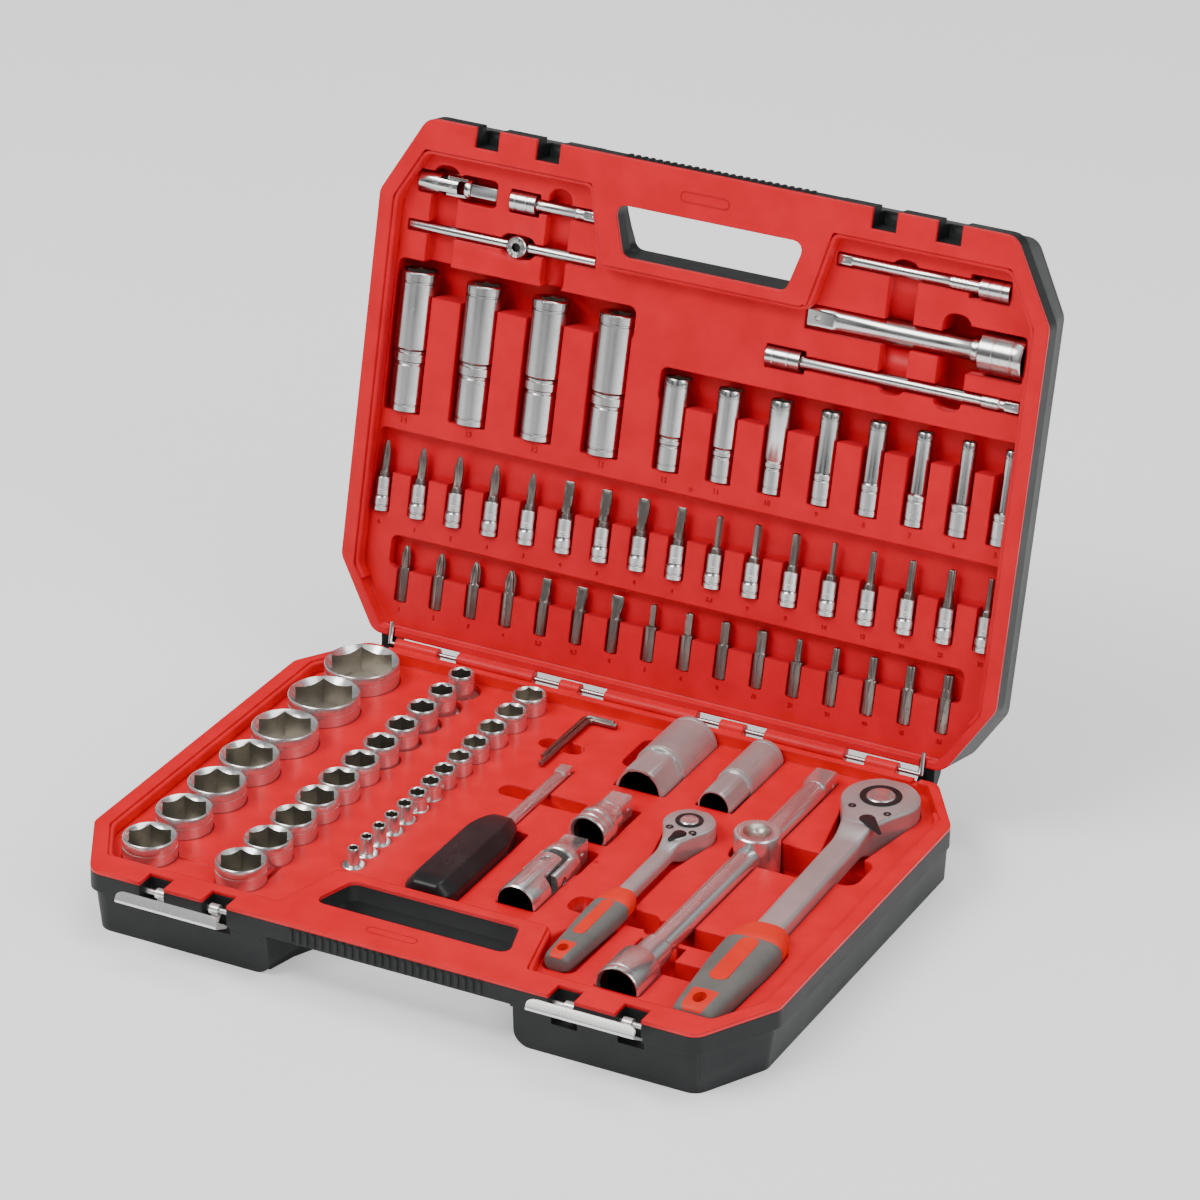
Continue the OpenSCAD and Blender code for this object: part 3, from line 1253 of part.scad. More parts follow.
steel = [0.78, 0.78, 0.76];
module ratchet_half_body() { color(steel) in_base() at_ratchet(0) ratchet_body(0); }
module ratchet_half_cover() { color(steel) in_base() at_ratchet(0) ratchet_cover(0); }
module ratchet_half_drive() { color(steel) in_base() at_ratchet(0) ratchet_drive(0); }
module ratchet_half_dial() { color([0.1, 0.1, 0.1]) in_base() at_ratchet(0) ratchet_dial(0); }
module ratchet_half_button() { color(steel) in_base() at_ratchet(0) ratchet_button(0); }
module ratchet_half_lever() { color([0.1, 0.1, 0.1]) in_base() at_ratchet(0) ratchet_lever(0); }
module ratchet_half_screws() { color(steel) in_base() at_ratchet(0) ratchet_screws(0); }
module ratchet_half_grip() { color([0.45, 0.45, 0.43]) in_base() at_ratchet(0) ratchet_grip(0); }
module ratchet_half_grip_insert() { color([1, 0.31, 0.2]) in_base() at_ratchet(0) ratchet_grip_insert(0); }
module ratchet_quarter_body() { color(steel) in_base() at_ratchet(1) ratchet_body(1); }
module ratchet_quarter_cover() { color(steel) in_base() at_ratchet(1) ratchet_cover(1); }
module ratchet_quarter_drive() { color(steel) in_base() at_ratchet(1) ratchet_drive(1); }
module ratchet_quarter_dial() { color([0.1, 0.1, 0.1]) in_base() at_ratchet(1) ratchet_dial(1); }
module ratchet_quarter_button() { color(steel) in_base() at_ratchet(1) ratchet_button(1); }
module ratchet_quarter_lever() { color([0.1, 0.1, 0.1]) in_base() at_ratchet(1) ratchet_lever(1); }
module ratchet_quarter_screws() { color(steel) in_base() at_ratchet(1) ratchet_screws(1); }
module ratchet_quarter_grip() { color([0.45, 0.45, 0.43]) in_base() at_ratchet(1) ratchet_grip(1); }
module ratchet_quarter_grip_insert() { color([1, 0.31, 0.2]) in_base() at_ratchet(1) ratchet_grip_insert(1); }

base_shell();
base_tray();
lid_shell();
lid_tray();
hinge_wire();
latch_left();
latch_right();
latch_pins();
sockets_half_large();
sockets_half_small();
sockets_quarter();
driver_handle();
driver_shank();
hex_keys();
drive_adapter();
joint_half_socket_end();
joint_half_cross();
joint_half_square_end();
plug_socket_large();
plug_socket_small();
plug_socket_sleeves();
long_extension();
sliding_head();
ratchet_half_body();
ratchet_half_cover();
ratchet_half_drive();
ratchet_half_dial();
ratchet_half_button();
ratchet_half_lever();
ratchet_half_screws();
ratchet_half_grip();
ratchet_half_grip_insert();
ratchet_quarter_body();
ratchet_quarter_cover();
ratchet_quarter_drive();
ratchet_quarter_dial();
ratchet_quarter_button();
ratchet_quarter_lever();
ratchet_quarter_screws();
ratchet_quarter_grip();
ratchet_quarter_grip_insert();
deep_sockets_half();
deep_sockets_quarter();
bit_sockets();
bit_socket_tips();
bits_cross();
bits_slotted();
bits_hex();
bits_star();
t_bar();
t_bar_head();
extension_50();
extension_100();
extension_125();
extension_150();
joint_quarter_socket_end();
joint_quarter_cross();
joint_quarter_square_end();
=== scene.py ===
import bpy
import bmesh
import json
import math
from mathutils import Matrix, Vector


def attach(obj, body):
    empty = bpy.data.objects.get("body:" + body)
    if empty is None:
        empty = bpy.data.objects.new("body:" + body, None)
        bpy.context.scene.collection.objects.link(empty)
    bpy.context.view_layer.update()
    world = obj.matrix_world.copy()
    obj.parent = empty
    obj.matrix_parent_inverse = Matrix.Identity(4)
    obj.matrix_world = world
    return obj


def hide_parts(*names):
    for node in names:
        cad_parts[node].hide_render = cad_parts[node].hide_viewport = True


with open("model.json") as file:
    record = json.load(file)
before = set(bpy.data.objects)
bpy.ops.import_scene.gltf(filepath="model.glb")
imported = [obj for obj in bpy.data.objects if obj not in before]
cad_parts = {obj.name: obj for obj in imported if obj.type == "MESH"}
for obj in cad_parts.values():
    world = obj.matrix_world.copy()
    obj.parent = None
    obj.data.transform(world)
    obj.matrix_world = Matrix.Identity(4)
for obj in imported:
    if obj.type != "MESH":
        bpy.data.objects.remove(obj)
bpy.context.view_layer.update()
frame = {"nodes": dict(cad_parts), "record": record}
bodyOf = {node: body for body, nodes in frame["record"]["behaviour"]["bodies"].items() for node in nodes}
slotOf = {part["node"]: part["material_slot"] for part in frame["record"]["subparts"]}
print("frame loaded:", len(frame["nodes"]), "nodes")


# camera: a long lens, far off, a little to the right and above
cameraSetup = {"azimuth": 26.79, "elevation": 26.61, "roll": 0.78, "lens": 159.26,
               "place": (1.09607, -2.08736, 1.34554)}


def addCamera():
    azimuth, elevation, roll = (math.radians(cameraSetup[k]) for k in ("azimuth", "elevation", "roll"))
    back = Vector((math.sin(azimuth) * math.cos(elevation), -math.cos(azimuth) * math.cos(elevation),
                   math.sin(elevation)))
    side = (-back).cross(Vector((0, 0, 1))).normalized()
    rise = side.cross(-back).normalized()
    right = math.cos(roll) * side + math.sin(roll) * rise
    upward = -math.sin(roll) * side + math.cos(roll) * rise
    camera = bpy.data.objects.new("camera", bpy.data.cameras.new("camera"))
    turn = Matrix((right, upward, back)).transposed().to_4x4()
    camera.matrix_world = Matrix.Translation(cameraSetup["place"]) @ turn
    camera.data.lens = cameraSetup["lens"]
    camera.data.sensor_width = 36
    camera.data.clip_end = 20
    bpy.context.collection.objects.link(camera)
    bpy.context.scene.camera = camera


lightSetup = {
    "world": {"colour": (0.98, 0.99, 1.0), "horizon": (0.20, 0.205, 0.21), "strength": 0.95,
              "sheets": ((0.001, 0.5), (0.16, 0.8), (0.22, 0.12), (0.33, 0.12), (0.38, 1.0), (0.52, 1.0),
                         (0.57, 0.15), (0.69, 0.12), (0.75, 0.9), (0.999, 0.6))},
    "boxes": {
        "keyBox": {"place": (-1.1, -1.3, 2.3), "size": (1.6, 1.1), "power": 50, "colour": (1, 0.985, 0.96)},
        "rightBox": {"place": (2.0, -0.6, 1.5), "size": (1.0, 1.4), "power": 16, "colour": (0.96, 0.98, 1)},
        "topBox": {"place": (0.2, 0.5, 2.4), "size": (1.8, 0.9), "power": 18, "colour": (1, 1, 1)},
    },
    "aim": (0, 0.02, 0.1),
}


# two colours multiplied
def multiplied(tree, first, second):
    mix = tree.nodes.new("ShaderNodeMix")
    mix.data_type, mix.blend_type = "RGBA", "MULTIPLY"
    factor, colourA, colourB, mixed = 0, 6, 7, 2  # the sockets that a colour mix uses
    mix.inputs[factor].default_value = 1
    tree.links.new(first, mix.inputs[colourA])
    tree.links.new(second, mix.inputs[colourB])
    return mix.outputs[mixed]


def addLights():
    sky = lightSetup["world"]
    world = bpy.data.worlds.new("studio")
    world.use_nodes = True
    tree = world.node_tree
    paint = tree.nodes["Background"]
    paint.inputs["Strength"].default_value = sky["strength"]
    way = tree.nodes.new("ShaderNodeTexCoord")
    parts = tree.nodes.new("ShaderNodeSeparateXYZ")
    tree.links.new(way.outputs["Generated"], parts.inputs[0])
    # dimmer towards the horizon, as in a room with an overhead tent
    rise = tree.nodes.new("ShaderNodeValToRGB")
    for end, place, colour in zip(rise.color_ramp.elements, (0.02, 0.75), (sky["horizon"], sky["colour"])):
        end.position = place
        end.color = (*colour, 1)
    tree.links.new(parts.outputs["Z"], rise.inputs[0])
    # bright sheets with dark gaps between them, from left to right, for the stripes along bright metal
    shift = tree.nodes.new("ShaderNodeMapRange")
    shift.inputs["From Min"].default_value = -1
    tree.links.new(parts.outputs["X"], shift.inputs["Value"])
    sheets = tree.nodes.new("ShaderNodeValToRGB")
    sheets.color_ramp.elements.remove(sheets.color_ramp.elements[1])
    for place, level in sky["sheets"]:
        sheets.color_ramp.elements.new(place).color = (level, level, level, 1)
    tree.links.new(shift.outputs[0], sheets.inputs[0])
    tree.links.new(multiplied(tree, rise.outputs[0], sheets.outputs[0]), paint.inputs["Color"])
    bpy.context.scene.world = world
    for name, box in lightSetup["boxes"].items():
        lamp = bpy.data.lights.new(name, "AREA")
        lamp.shape = "RECTANGLE"
        lamp.size, lamp.size_y = box["size"]
        lamp.energy = box["power"]
        lamp.color = box["colour"]
        holder = bpy.data.objects.new(name, lamp)
        holder.location = box["place"]
        towards = Vector(lightSetup["aim"]) - Vector(box["place"])
        holder.rotation_euler = towards.to_track_quat("-Z", "Y").to_euler()
        bpy.context.collection.objects.link(holder)


addCamera()
addLights()
print("camera and lights set")


# shared effects are node groups; an input with no value is a place
def newGroup(name, inputs, outputs):
    group = bpy.data.node_groups.new(name, "ShaderNodeTree")
    for label, value in inputs.items():
        kind = "NodeSocketVector" if value is None else "NodeSocketFloat"
        socket = group.interface.new_socket(label, in_out="INPUT", socket_type=kind)
        if value is not None:
            socket.default_value = value
    for label in outputs:
        group.interface.new_socket(label, in_out="OUTPUT", socket_type="NodeSocketFloat")
    return group, group.nodes.new("NodeGroupInput"), group.nodes.new("NodeGroupOutput")


def addMath(tree, operation, first, second):
    step = tree.nodes.new("ShaderNodeMath")
    step.operation = operation
    for socket, value in zip(step.inputs, (first, second)):
        if isinstance(value, (int, float)):
            socket.default_value = value
        else:
            tree.links.new(value, socket)
    return step.outputs[0]


def addNoise(tree, place, scale, detail=2.0):
    cloud = tree.nodes.new("ShaderNodeTexNoise")
    cloud.inputs["Detail"].default_value = detail
    if isinstance(scale, (int, float)):
        cloud.inputs["Scale"].default_value = scale
    else:
        tree.links.new(scale, cloud.inputs["Scale"])
    if place is not None:
        tree.links.new(place, cloud.inputs["Vector"])
    return cloud.outputs["Fac"]


# fine moulded grain over a slow waviness, for plastics
def makeGrainGroup():
    inputs = {"Place": None, "Grain Scale": 2200.0, "Wave Scale": 60.0, "Wave Share": 0.4}
    group, given, result = newGroup("mouldGrain", inputs, ("Height", "Patch"))
    fine = addNoise(group, given.outputs["Place"], given.outputs["Grain Scale"], 3)
    slow = addNoise(group, given.outputs["Place"], given.outputs["Wave Scale"], 2)
    waves = addMath(group, "MULTIPLY", slow, given.outputs["Wave Share"])
    group.links.new(addMath(group, "ADD", fine, waves), result.inputs["Height"])
    group.links.new(slow, result.inputs["Patch"])
    return group


# handling marks: blotches and thin scratches, 0 clean to 1 marked
def makeWearGroup():
    inputs = {"Place": None, "Blotch Scale": 45.0, "Scratch Scale": 420.0, "Amount": 0.5}
    group, given, result = newGroup("handlingWear", inputs, ("Marks", "Height"))
    stretch = group.nodes.new("ShaderNodeMapping")
    stretch.inputs["Rotation"].default_value = (0.3, 0.5, 0.6)
    stretch.inputs["Scale"].default_value = (1, 0.06, 1)
    group.links.new(given.outputs["Place"], stretch.inputs["Vector"])
    scratch = addNoise(group, stretch.outputs[0], given.outputs["Scratch Scale"], 4)
    thin = group.nodes.new("ShaderNodeMapRange")
    thin.inputs["From Min"].default_value = 0.62
    thin.inputs["From Max"].default_value = 0.72
    group.links.new(scratch, thin.inputs["Value"])
    blotch = addNoise(group, given.outputs["Place"], given.outputs["Blotch Scale"], 4)
    scratched = addMath(group, "MULTIPLY", thin.outputs[0], 0.5)
    both = addMath(group, "MULTIPLY", addMath(group, "ADD", blotch, scratched), given.outputs["Amount"])
    group.links.new(both, result.inputs["Marks"])
    group.links.new(thin.outputs[0], result.inputs["Height"])
    return group


grainGroup = makeGrainGroup()
wearGroup = makeWearGroup()


# a new material, with its tree, its shader and the place on the object
def startMaterial(name, values):
    material = bpy.data.materials.new(name)
    material.use_nodes = True
    tree = material.node_tree
    shader = tree.nodes["Principled BSDF"]
    for label, value in values.items():
        shader.inputs[label].default_value = (*value, 1) if isinstance(value, tuple) else value
    place = tree.nodes.new("ShaderNodeTexCoord").outputs["Object"]
    return material, tree, shader, place


def useGroup(tree, group, place, **values):
    node = tree.nodes.new("ShaderNodeGroup")
    node.node_tree = group
    tree.links.new(place, node.inputs["Place"])
    for label, value in values.items():
        node.inputs[label.replace("_", " ")].default_value = value
    return node


# two tones mixed by a mask, into Base Color
def tintBy(tree, shader, mask, dark, light):
    ramp = tree.nodes.new("ShaderNodeValToRGB")
    ramp.color_ramp.elements[0].position = 0.3
    ramp.color_ramp.elements[1].position = 0.7
    ramp.color_ramp.elements[0].color = (*dark, 1)
    ramp.color_ramp.elements[1].color = (*light, 1)
    tree.links.new(mask, ramp.inputs[0])
    tree.links.new(ramp.outputs[0], shader.inputs["Base Color"])


def roughBy(tree, shader, mask, low, high):
    spread = tree.nodes.new("ShaderNodeMapRange")
    spread.inputs["From Min"].default_value = 0.25
    spread.inputs["From Max"].default_value = 0.75
    spread.inputs["To Min"].default_value = low
    spread.inputs["To Max"].default_value = high
    tree.links.new(mask, spread.inputs["Value"])
    tree.links.new(spread.outputs[0], shader.inputs["Roughness"])


def bumpBy(tree, shader, height, strength, distance, softEdge=0.0):
    bump = tree.nodes.new("ShaderNodeBump")
    bump.inputs["Strength"].default_value = strength
    bump.inputs["Distance"].default_value = distance
    tree.links.new(height, bump.inputs["Height"])
    if softEdge:
        edge = tree.nodes.new("ShaderNodeBevel")
        edge.samples = 6
        edge.inputs["Radius"].default_value = softEdge
        tree.links.new(edge.outputs[0], bump.inputs["Normal"])
    tree.links.new(bump.outputs[0], shader.inputs["Normal"])


# two tones, roughness from and to, size and strength of the grain, and how far edges look rounded, in metres
plastics = {
    "red_tray": {"dark": (0.74, 0.003, 0.012), "light": (0.84, 0.005, 0.018), "rough": (0.34, 0.46),
                 "grain": 1500, "bump": 0.12, "edge": 0.0015},
    # the same red plastic, darker in the lid: painted shade of the tilted lid
    "lid_red_tray": {"dark": (0.68, 0.003, 0.014), "light": (0.78, 0.005, 0.020), "rough": (0.36, 0.48),
                     "grain": 1500, "bump": 0.12, "edge": 0.0015},
    "black_shell": {"dark": (0.012, 0.0132, 0.014), "light": (0.015, 0.0164, 0.0172), "rough": (0.46, 0.53),
                    "grain": 900, "bump": 0.35, "edge": 0.0010},
    "black_plastic": {"dark": (0.012, 0.012, 0.013), "light": (0.022, 0.022, 0.023), "rough": (0.25, 0.38),
                      "grain": 2000, "bump": 0.08, "edge": 0.0},
    "grey_grip": {"dark": (0.13, 0.13, 0.12), "light": (0.17, 0.17, 0.16), "rough": (0.48, 0.62),
                  "grain": 1800, "bump": 0.2, "edge": 0.0},
    "red_grip": {"dark": (0.80, 0.020, 0.008), "light": (0.90, 0.030, 0.012), "rough": (0.42, 0.55),
                 "grain": 1800, "bump": 0.15, "edge": 0.0},
    "black_rubber": {"dark": (0.01, 0.01, 0.01), "light": (0.018, 0.018, 0.018), "rough": (0.6, 0.75),
                     "grain": 1500, "bump": 0.2, "edge": 0.0},
}
# two tones, roughness from and to, how metallic, and how dark the painted reflection makes the sides of a
# round
metals = {
    "chrome": {"dark": (0.66, 0.66, 0.655), "light": (0.80, 0.80, 0.79), "rough": (0.16, 0.26),
               "metal": 0.88},
    # the chrome of the lid's tools: the same chrome with a painted reflection that darkens its sides
    "lid_chrome": {"dark": (0.66, 0.66, 0.655), "light": (0.80, 0.80, 0.79), "rough": (0.16, 0.26),
                   "sides": 0.30},
    "latch_plate": {"dark": (0.74, 0.74, 0.735), "light": (0.86, 0.86, 0.855), "rough": (0.22, 0.32),
                    "metal": 0.7},
    "bright_wire": {"dark": (0.45, 0.45, 0.45), "light": (0.56, 0.56, 0.56), "rough": (0.22, 0.35)},
    "satin_steel": {"dark": (0.44, 0.435, 0.425), "light": (0.58, 0.575, 0.565), "rough": (0.30, 0.42),
                    "metal": 0.6},
    # near black for the insides of holes and drive squares: painted shade
    "black_bore": {"dark": (0.035, 0.033, 0.03), "light": (0.07, 0.066, 0.06), "rough": (0.4, 0.55)},
    # darker steel for the insides of sockets: partly the duller steel inside, partly painted shade
    "bore_steel": {"dark": (0.34, 0.32, 0.28), "light": (0.56, 0.53, 0.47), "rough": (0.30, 0.42)},
    "dark_steel": {"dark": (0.20, 0.18, 0.165), "light": (0.34, 0.31, 0.285), "rough": (0.26, 0.40)},
}
grainHeight, scratchHeight = 0.00025, 0.00005
materials = {}


# painted reflection: polished rounds in the lid get their base colour darkened towards their sides, standing
# in for the dark end of the studio that they mirror
def paintDarkReflectionAtSides(tree, shader, level):
    facing = tree.nodes.new("ShaderNodeLayerWeight")
    facing.inputs["Blend"].default_value = 0.5
    ramp = tree.nodes.new("ShaderNodeValToRGB")
    ramp.color_ramp.elements[0].position = 0.16
    ramp.color_ramp.elements[0].color = (1, 1, 1, 1)
    ramp.color_ramp.elements[1].position = 0.45
    ramp.color_ramp.elements[1].color = (level, level, level, 1)
    ramp.color_ramp.elements.new(0.85).color = (0.8, 0.8, 0.8, 1)
    tree.links.new(facing.outputs["Facing"], ramp.inputs[0])
    colour = shader.inputs["Base Color"].links[0].from_socket
    tree.links.new(multiplied(tree, colour, ramp.outputs[0]), shader.inputs["Base Color"])


def makeMaterials():
    for name, look in plastics.items():
        material, tree, shader, place = startMaterial(name, {"Specular IOR Level": 0.25})
        grain = useGroup(tree, grainGroup, place, Grain_Scale=look["grain"])
        wear = useGroup(tree, wearGroup, place, Amount=0.8)
        tintBy(tree, shader, grain.outputs["Patch"], look["dark"], look["light"])
        roughBy(tree, shader, wear.outputs["Marks"], *look["rough"])
        bumpBy(tree, shader, grain.outputs["Height"], look["bump"], grainHeight, look["edge"])
        materials[name] = material
    for name, look in metals.items():
        material, tree, shader, place = startMaterial(name, {"Metallic": look.get("metal", 1.0)})
        wear = useGroup(tree, wearGroup, place, Amount=1.0)
        tintBy(tree, shader, wear.outputs["Marks"], look["light"], look["dark"])
        roughBy(tree, shader, wear.outputs["Marks"], *look["rough"])
        bumpBy(tree, shader, wear.outputs["Height"], 0.15, scratchHeight)
        # painted reflection: the sides of rounds darkened in the base colour
        if "sides" in look:
            paintDarkReflectionAtSides(tree, shader, look["sides"])
        materials[name] = material
    print("materials made:", len(materials))


makeMaterials()


def addFloor():
    mesh = bpy.data.meshes.new("floor")
    half = 6.0
    mesh.from_pydata([(-half, -half, 0), (half, -half, 0), (half, half, 0), (-half, half, 0)], [],
                     [(0, 1, 2, 3)])
    floor = bpy.data.objects.new("floor", mesh)
    bpy.context.collection.objects.link(floor)
    material, tree, shader, place = startMaterial("paleFloor", {"Roughness": 0.7})
    tintBy(tree, shader, addNoise(tree, place, 3.0), (0.90, 0.90, 0.90), (0.93, 0.93, 0.93))
    # a light table: the pale sheet glows a little by itself
    shader.inputs["Emission Color"].default_value = (1, 1, 1, 1)
    shader.inputs["Emission Strength"].default_value = 0.5
    mesh.materials.append(material)


addFloor()


# the case: its rear edge, the depth of a half, the height of the hinge's axis, and the lid's angle at rest
caseSetup = {"rear": 143.5, "half": 37, "axis": 37.3, "open": 103}


# every length below is in millimetres and Blender's are in metres
def at(x, y, z):
    return Vector((x / 1000, y / 1000, z / 1000))


def moved(x, y, z):
    return Matrix.Translation(at(x, y, z))


def turned(degrees, axis):
    return Matrix.Rotation(math.radians(degrees), 4, axis)


# places in the two halves: u to the right, v from the hinge to the front edge, z up or w into the lid
def inBase(u, v, z):
    return moved(u, caseSetup["rear"] - v, caseSetup["half"] + z)


hingeTurn = moved(0, caseSetup["rear"], caseSetup["axis"]) @ turned(-caseSetup["open"], "X")
hingeTurn @= moved(0, 0, caseSetup["axis"] - caseSetup["half"])


def inLid(u, v, w):
    return hingeTurn @ moved(u, -v, w)


# a tool's own z turned to lie along v, to the front or to the hinge, and its top turned down
towardsFront, towardsHinge, upsideDown = turned(90, "X"), turned(-90, "X"), turned(180, "X")


def camelName(node):
    words = node.split("_")
    return words[0] + "".join(word.capitalize() for word in words[1:])


# rings of (radius, height), numbers or functions of the angle, skinned into one solid; inner ones take look 1
def ringSkin(work, rings, place, turns, inner=(), closed=True):
    loops = []
    for radius, height in rings:
        loop = []
        for step in range(turns):
            angle = 2 * math.pi * step / turns
            r = radius(angle) if callable(radius) else radius
            z = height(angle) if callable(height) else height
            loop.append(work.verts.new(place @ at(r * math.cos(angle), r * math.sin(angle), z)))
        loops.append(loop)
    if not closed:
        work.faces.new(loops[0][::-1])
        work.faces.new(loops[-1])
    for index, low in enumerate(loops if closed else loops[:-1]):
        high = loops[(index + 1) % len(loops)]
        for step in range(turns):
            after = (step + 1) % turns
            face = work.faces.new((low[step], low[after], high[after], high[step]))
            face.material_index = 1 if index in inner else 0


# bodies in the lid, whose chrome takes the painted reflection
lidBodies = ("lid", "t_bar_head", "quarter_cross", "quarter_square_end")


def smoothFaces(mesh, sharp):
    mesh.shade_smooth()
    mesh.set_sharp_from_angle(angle=math.radians(sharp))


# makes the work an object that rides with a node's body, and shows it for that node unless it is extra
def finishPiece(work, node, outer=None, inner=None, sharp=32, extra=None):
    name, body, slot = extra or camelName(node), bodyOf[node], slotOf[node]
    mesh = bpy.data.meshes.new(name)
    bmesh.ops.recalc_face_normals(work, faces=work.faces)
    work.to_mesh(mesh)
    work.free()
    for look in (outer or slot, inner) if inner else (outer or slot,):
        # chrome in the lid takes the copy with the painted reflection at its sides
        mesh.materials.append(materials["lid_chrome" if look == "chrome" and body in lidBodies else look])
    piece = bpy.data.objects.new(name, mesh)
    bpy.context.collection.objects.link(piece)
    smoothFaces(mesh, sharp)
    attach(piece, body)
    if not extra:
        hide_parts(node)
    return piece


def addSoftEdge(piece, width):
    bevel = piece.modifiers.new("softEdges", "BEVEL")
    bevel.width = width
    bevel.segments = 2
    bevel.limit_method = "ANGLE"
    bevel.angle_limit = math.radians(40)
    bevel.harden_normals = True


# outlines as functions of the angle: a nut, a square, and an outline kept within or outside a circle
def hexReach(across):
    return lambda angle: across / 2 / math.cos((angle % (math.pi / 3)) - math.pi / 6)


def squareReach(across):
    return lambda angle: across / 2 / math.cos(((angle + math.pi / 4) % (math.pi / 2)) - math.pi / 4)


def atMost(reach, limit):
    return lambda angle: min(reach(angle), limit)


def atLeast(reach, limit):
    return lambda angle: max(reach(angle), limit)


# a groove turned into a round of this radius: where it starts, reaches its depth, leaves it and ends
def groove(radius, heights, deep):
    return list(zip((radius, radius - deep, radius - deep, radius), heights))


# the inside of a socket, from its mouth down to its drive square and out at the foot
def boreRings(height, size, drive, deep):
    reach = hexReach(size + 0.15)
    mouth, neck, square = 0.62 * size, min(size, drive) * 0.42, squareReach(drive + 0.2)
    return [(mouth, height), (reach, lambda angle: height - max(0.0, mouth - reach(angle)) / 1.2),
            (reach, height - deep), (neck, height - deep), (neck, drive * 0.95), (square, drive * 0.95),
            (square, 0)]


smallSizes = tuple(20 - i for i in range(11))
quarterSizes = (4, 4.5, 5, 5.5, 6, 7, 8, 9, 10, 11, 12, 13, 14)
# sockets that stand in the base; foot: width and height, ring: mouth to groove, wide: widths of the bodies
standingSockets = {
    "sockets_half_large": {"height": 38, "drive": 12.7, "top": 4.6, "u": -156, "foot": (26, 16),
                           "ring": 5.2, "turns": 96, "sizes": (21, 22, 23, 24, 27, 30, 32),
                           "places": (250, 216.7, 184.2, 151.5, 115, 74, 33),
                           "wide": (28, 29.2, 30.4, 31.6, 35.5, 38.5, 40.5)},
    "sockets_half_small": {"height": 38, "drive": 12.7, "top": 4.6, "u": -102.8, "foot": (20.6, 23.5),
                           "ring": 4.6, "turns": 72, "sizes": smallSizes,
                           "places": (250, 223.2, 197.8, 173.7, 151.2, 129.2, 107.2, 84.8, 62.6, 41, 19.6),
                           "wide": tuple(size * 1.22 + 1.8 for size in smallSizes)},
    "sockets_quarter": {"height": 25, "drive": 6.35, "top": 3, "u": -61, "foot": (12, 15.5),
                        "ring": 3.0, "turns": 48, "sizes": quarterSizes,
                        "places": (210, 196.5, 183.5, 170.5, 157, 143.5, 129.5, 115, 99, 81.5, 62.5, 42,
                                   21),
                        "wide": tuple(size * 1.2 + 1.6 for size in quarterSizes)},
}


def makeStandingSockets(node, setup):
    work = bmesh.new()
    tall = setup["height"]
    for size, v, wide in zip(setup["sizes"], setup["places"], setup["wide"]):
        body, foot, footTop = wide / 2, max(setup["foot"][0], wide) / 2, setup["foot"][1]
        ring = tall - setup["ring"]
        # the wide foot with its rounded shoulder, the groove round the body and the lip of the mouth
        outer = [(foot - 0.7, 0), (foot, 0.7), (foot, footTop - 0.5)]
        if foot > body + 0.3:
            outer += [(foot - 0.5, footTop), (body + 0.1, footTop + 0.15), (body, footTop + 0.6)]
        if body > 4.5:
            outer += [(body, ring - 0.55), (body - 0.45, ring - 0.3), (body - 0.45, ring + 0.35),
                      (body + 0.05, ring + 0.6)]
        lip = 0.35 if body > 8 else 0.2
        outer += [(body, tall - 0.9), (body - 0.25, tall - 0.3), (body - lip - 0.3, tall)]
        bore = boreRings(tall, size, setup["drive"], tall * 0.4)
        rim = max(body - lip - 0.75, bore[0][0])
        bore[0] = (min(bore[0][0], rim), tall - 0.05)
        rings = outer + bore
        inner = range(len(outer) + 1, len(rings) - 1)
        ringSkin(work, rings, inBase(setup["u"], v, setup["top"] - tall), setup["turns"], inner)
    # the bore faces: duller steel darkened further with painted shade
    finishPiece(work, node, inner="bore_steel")


# sockets that lie in the lid; deep: how far a nut goes in, depth: how far the axis lies in the lid
deepSockets = {
    "deep_sockets_half": {"long": 77, "drive": 12.7, "deep": 24, "v": 125.4, "depth": 15, "turns": 72,
                          "sizes": (14, 13, 12, 11), "places": tuple(-170.2 + i * 39.7 for i in range(4))},
    "deep_sockets_quarter": {"long": 50, "drive": 6.35, "deep": 18, "v": 125.4, "depth": 13, "turns": 48,
                             "sizes": tuple(12 - i for i in range(8)),
                             "places": tuple(-12 + i * (31.3 - 0.6 * i) for i in range(8))},
}


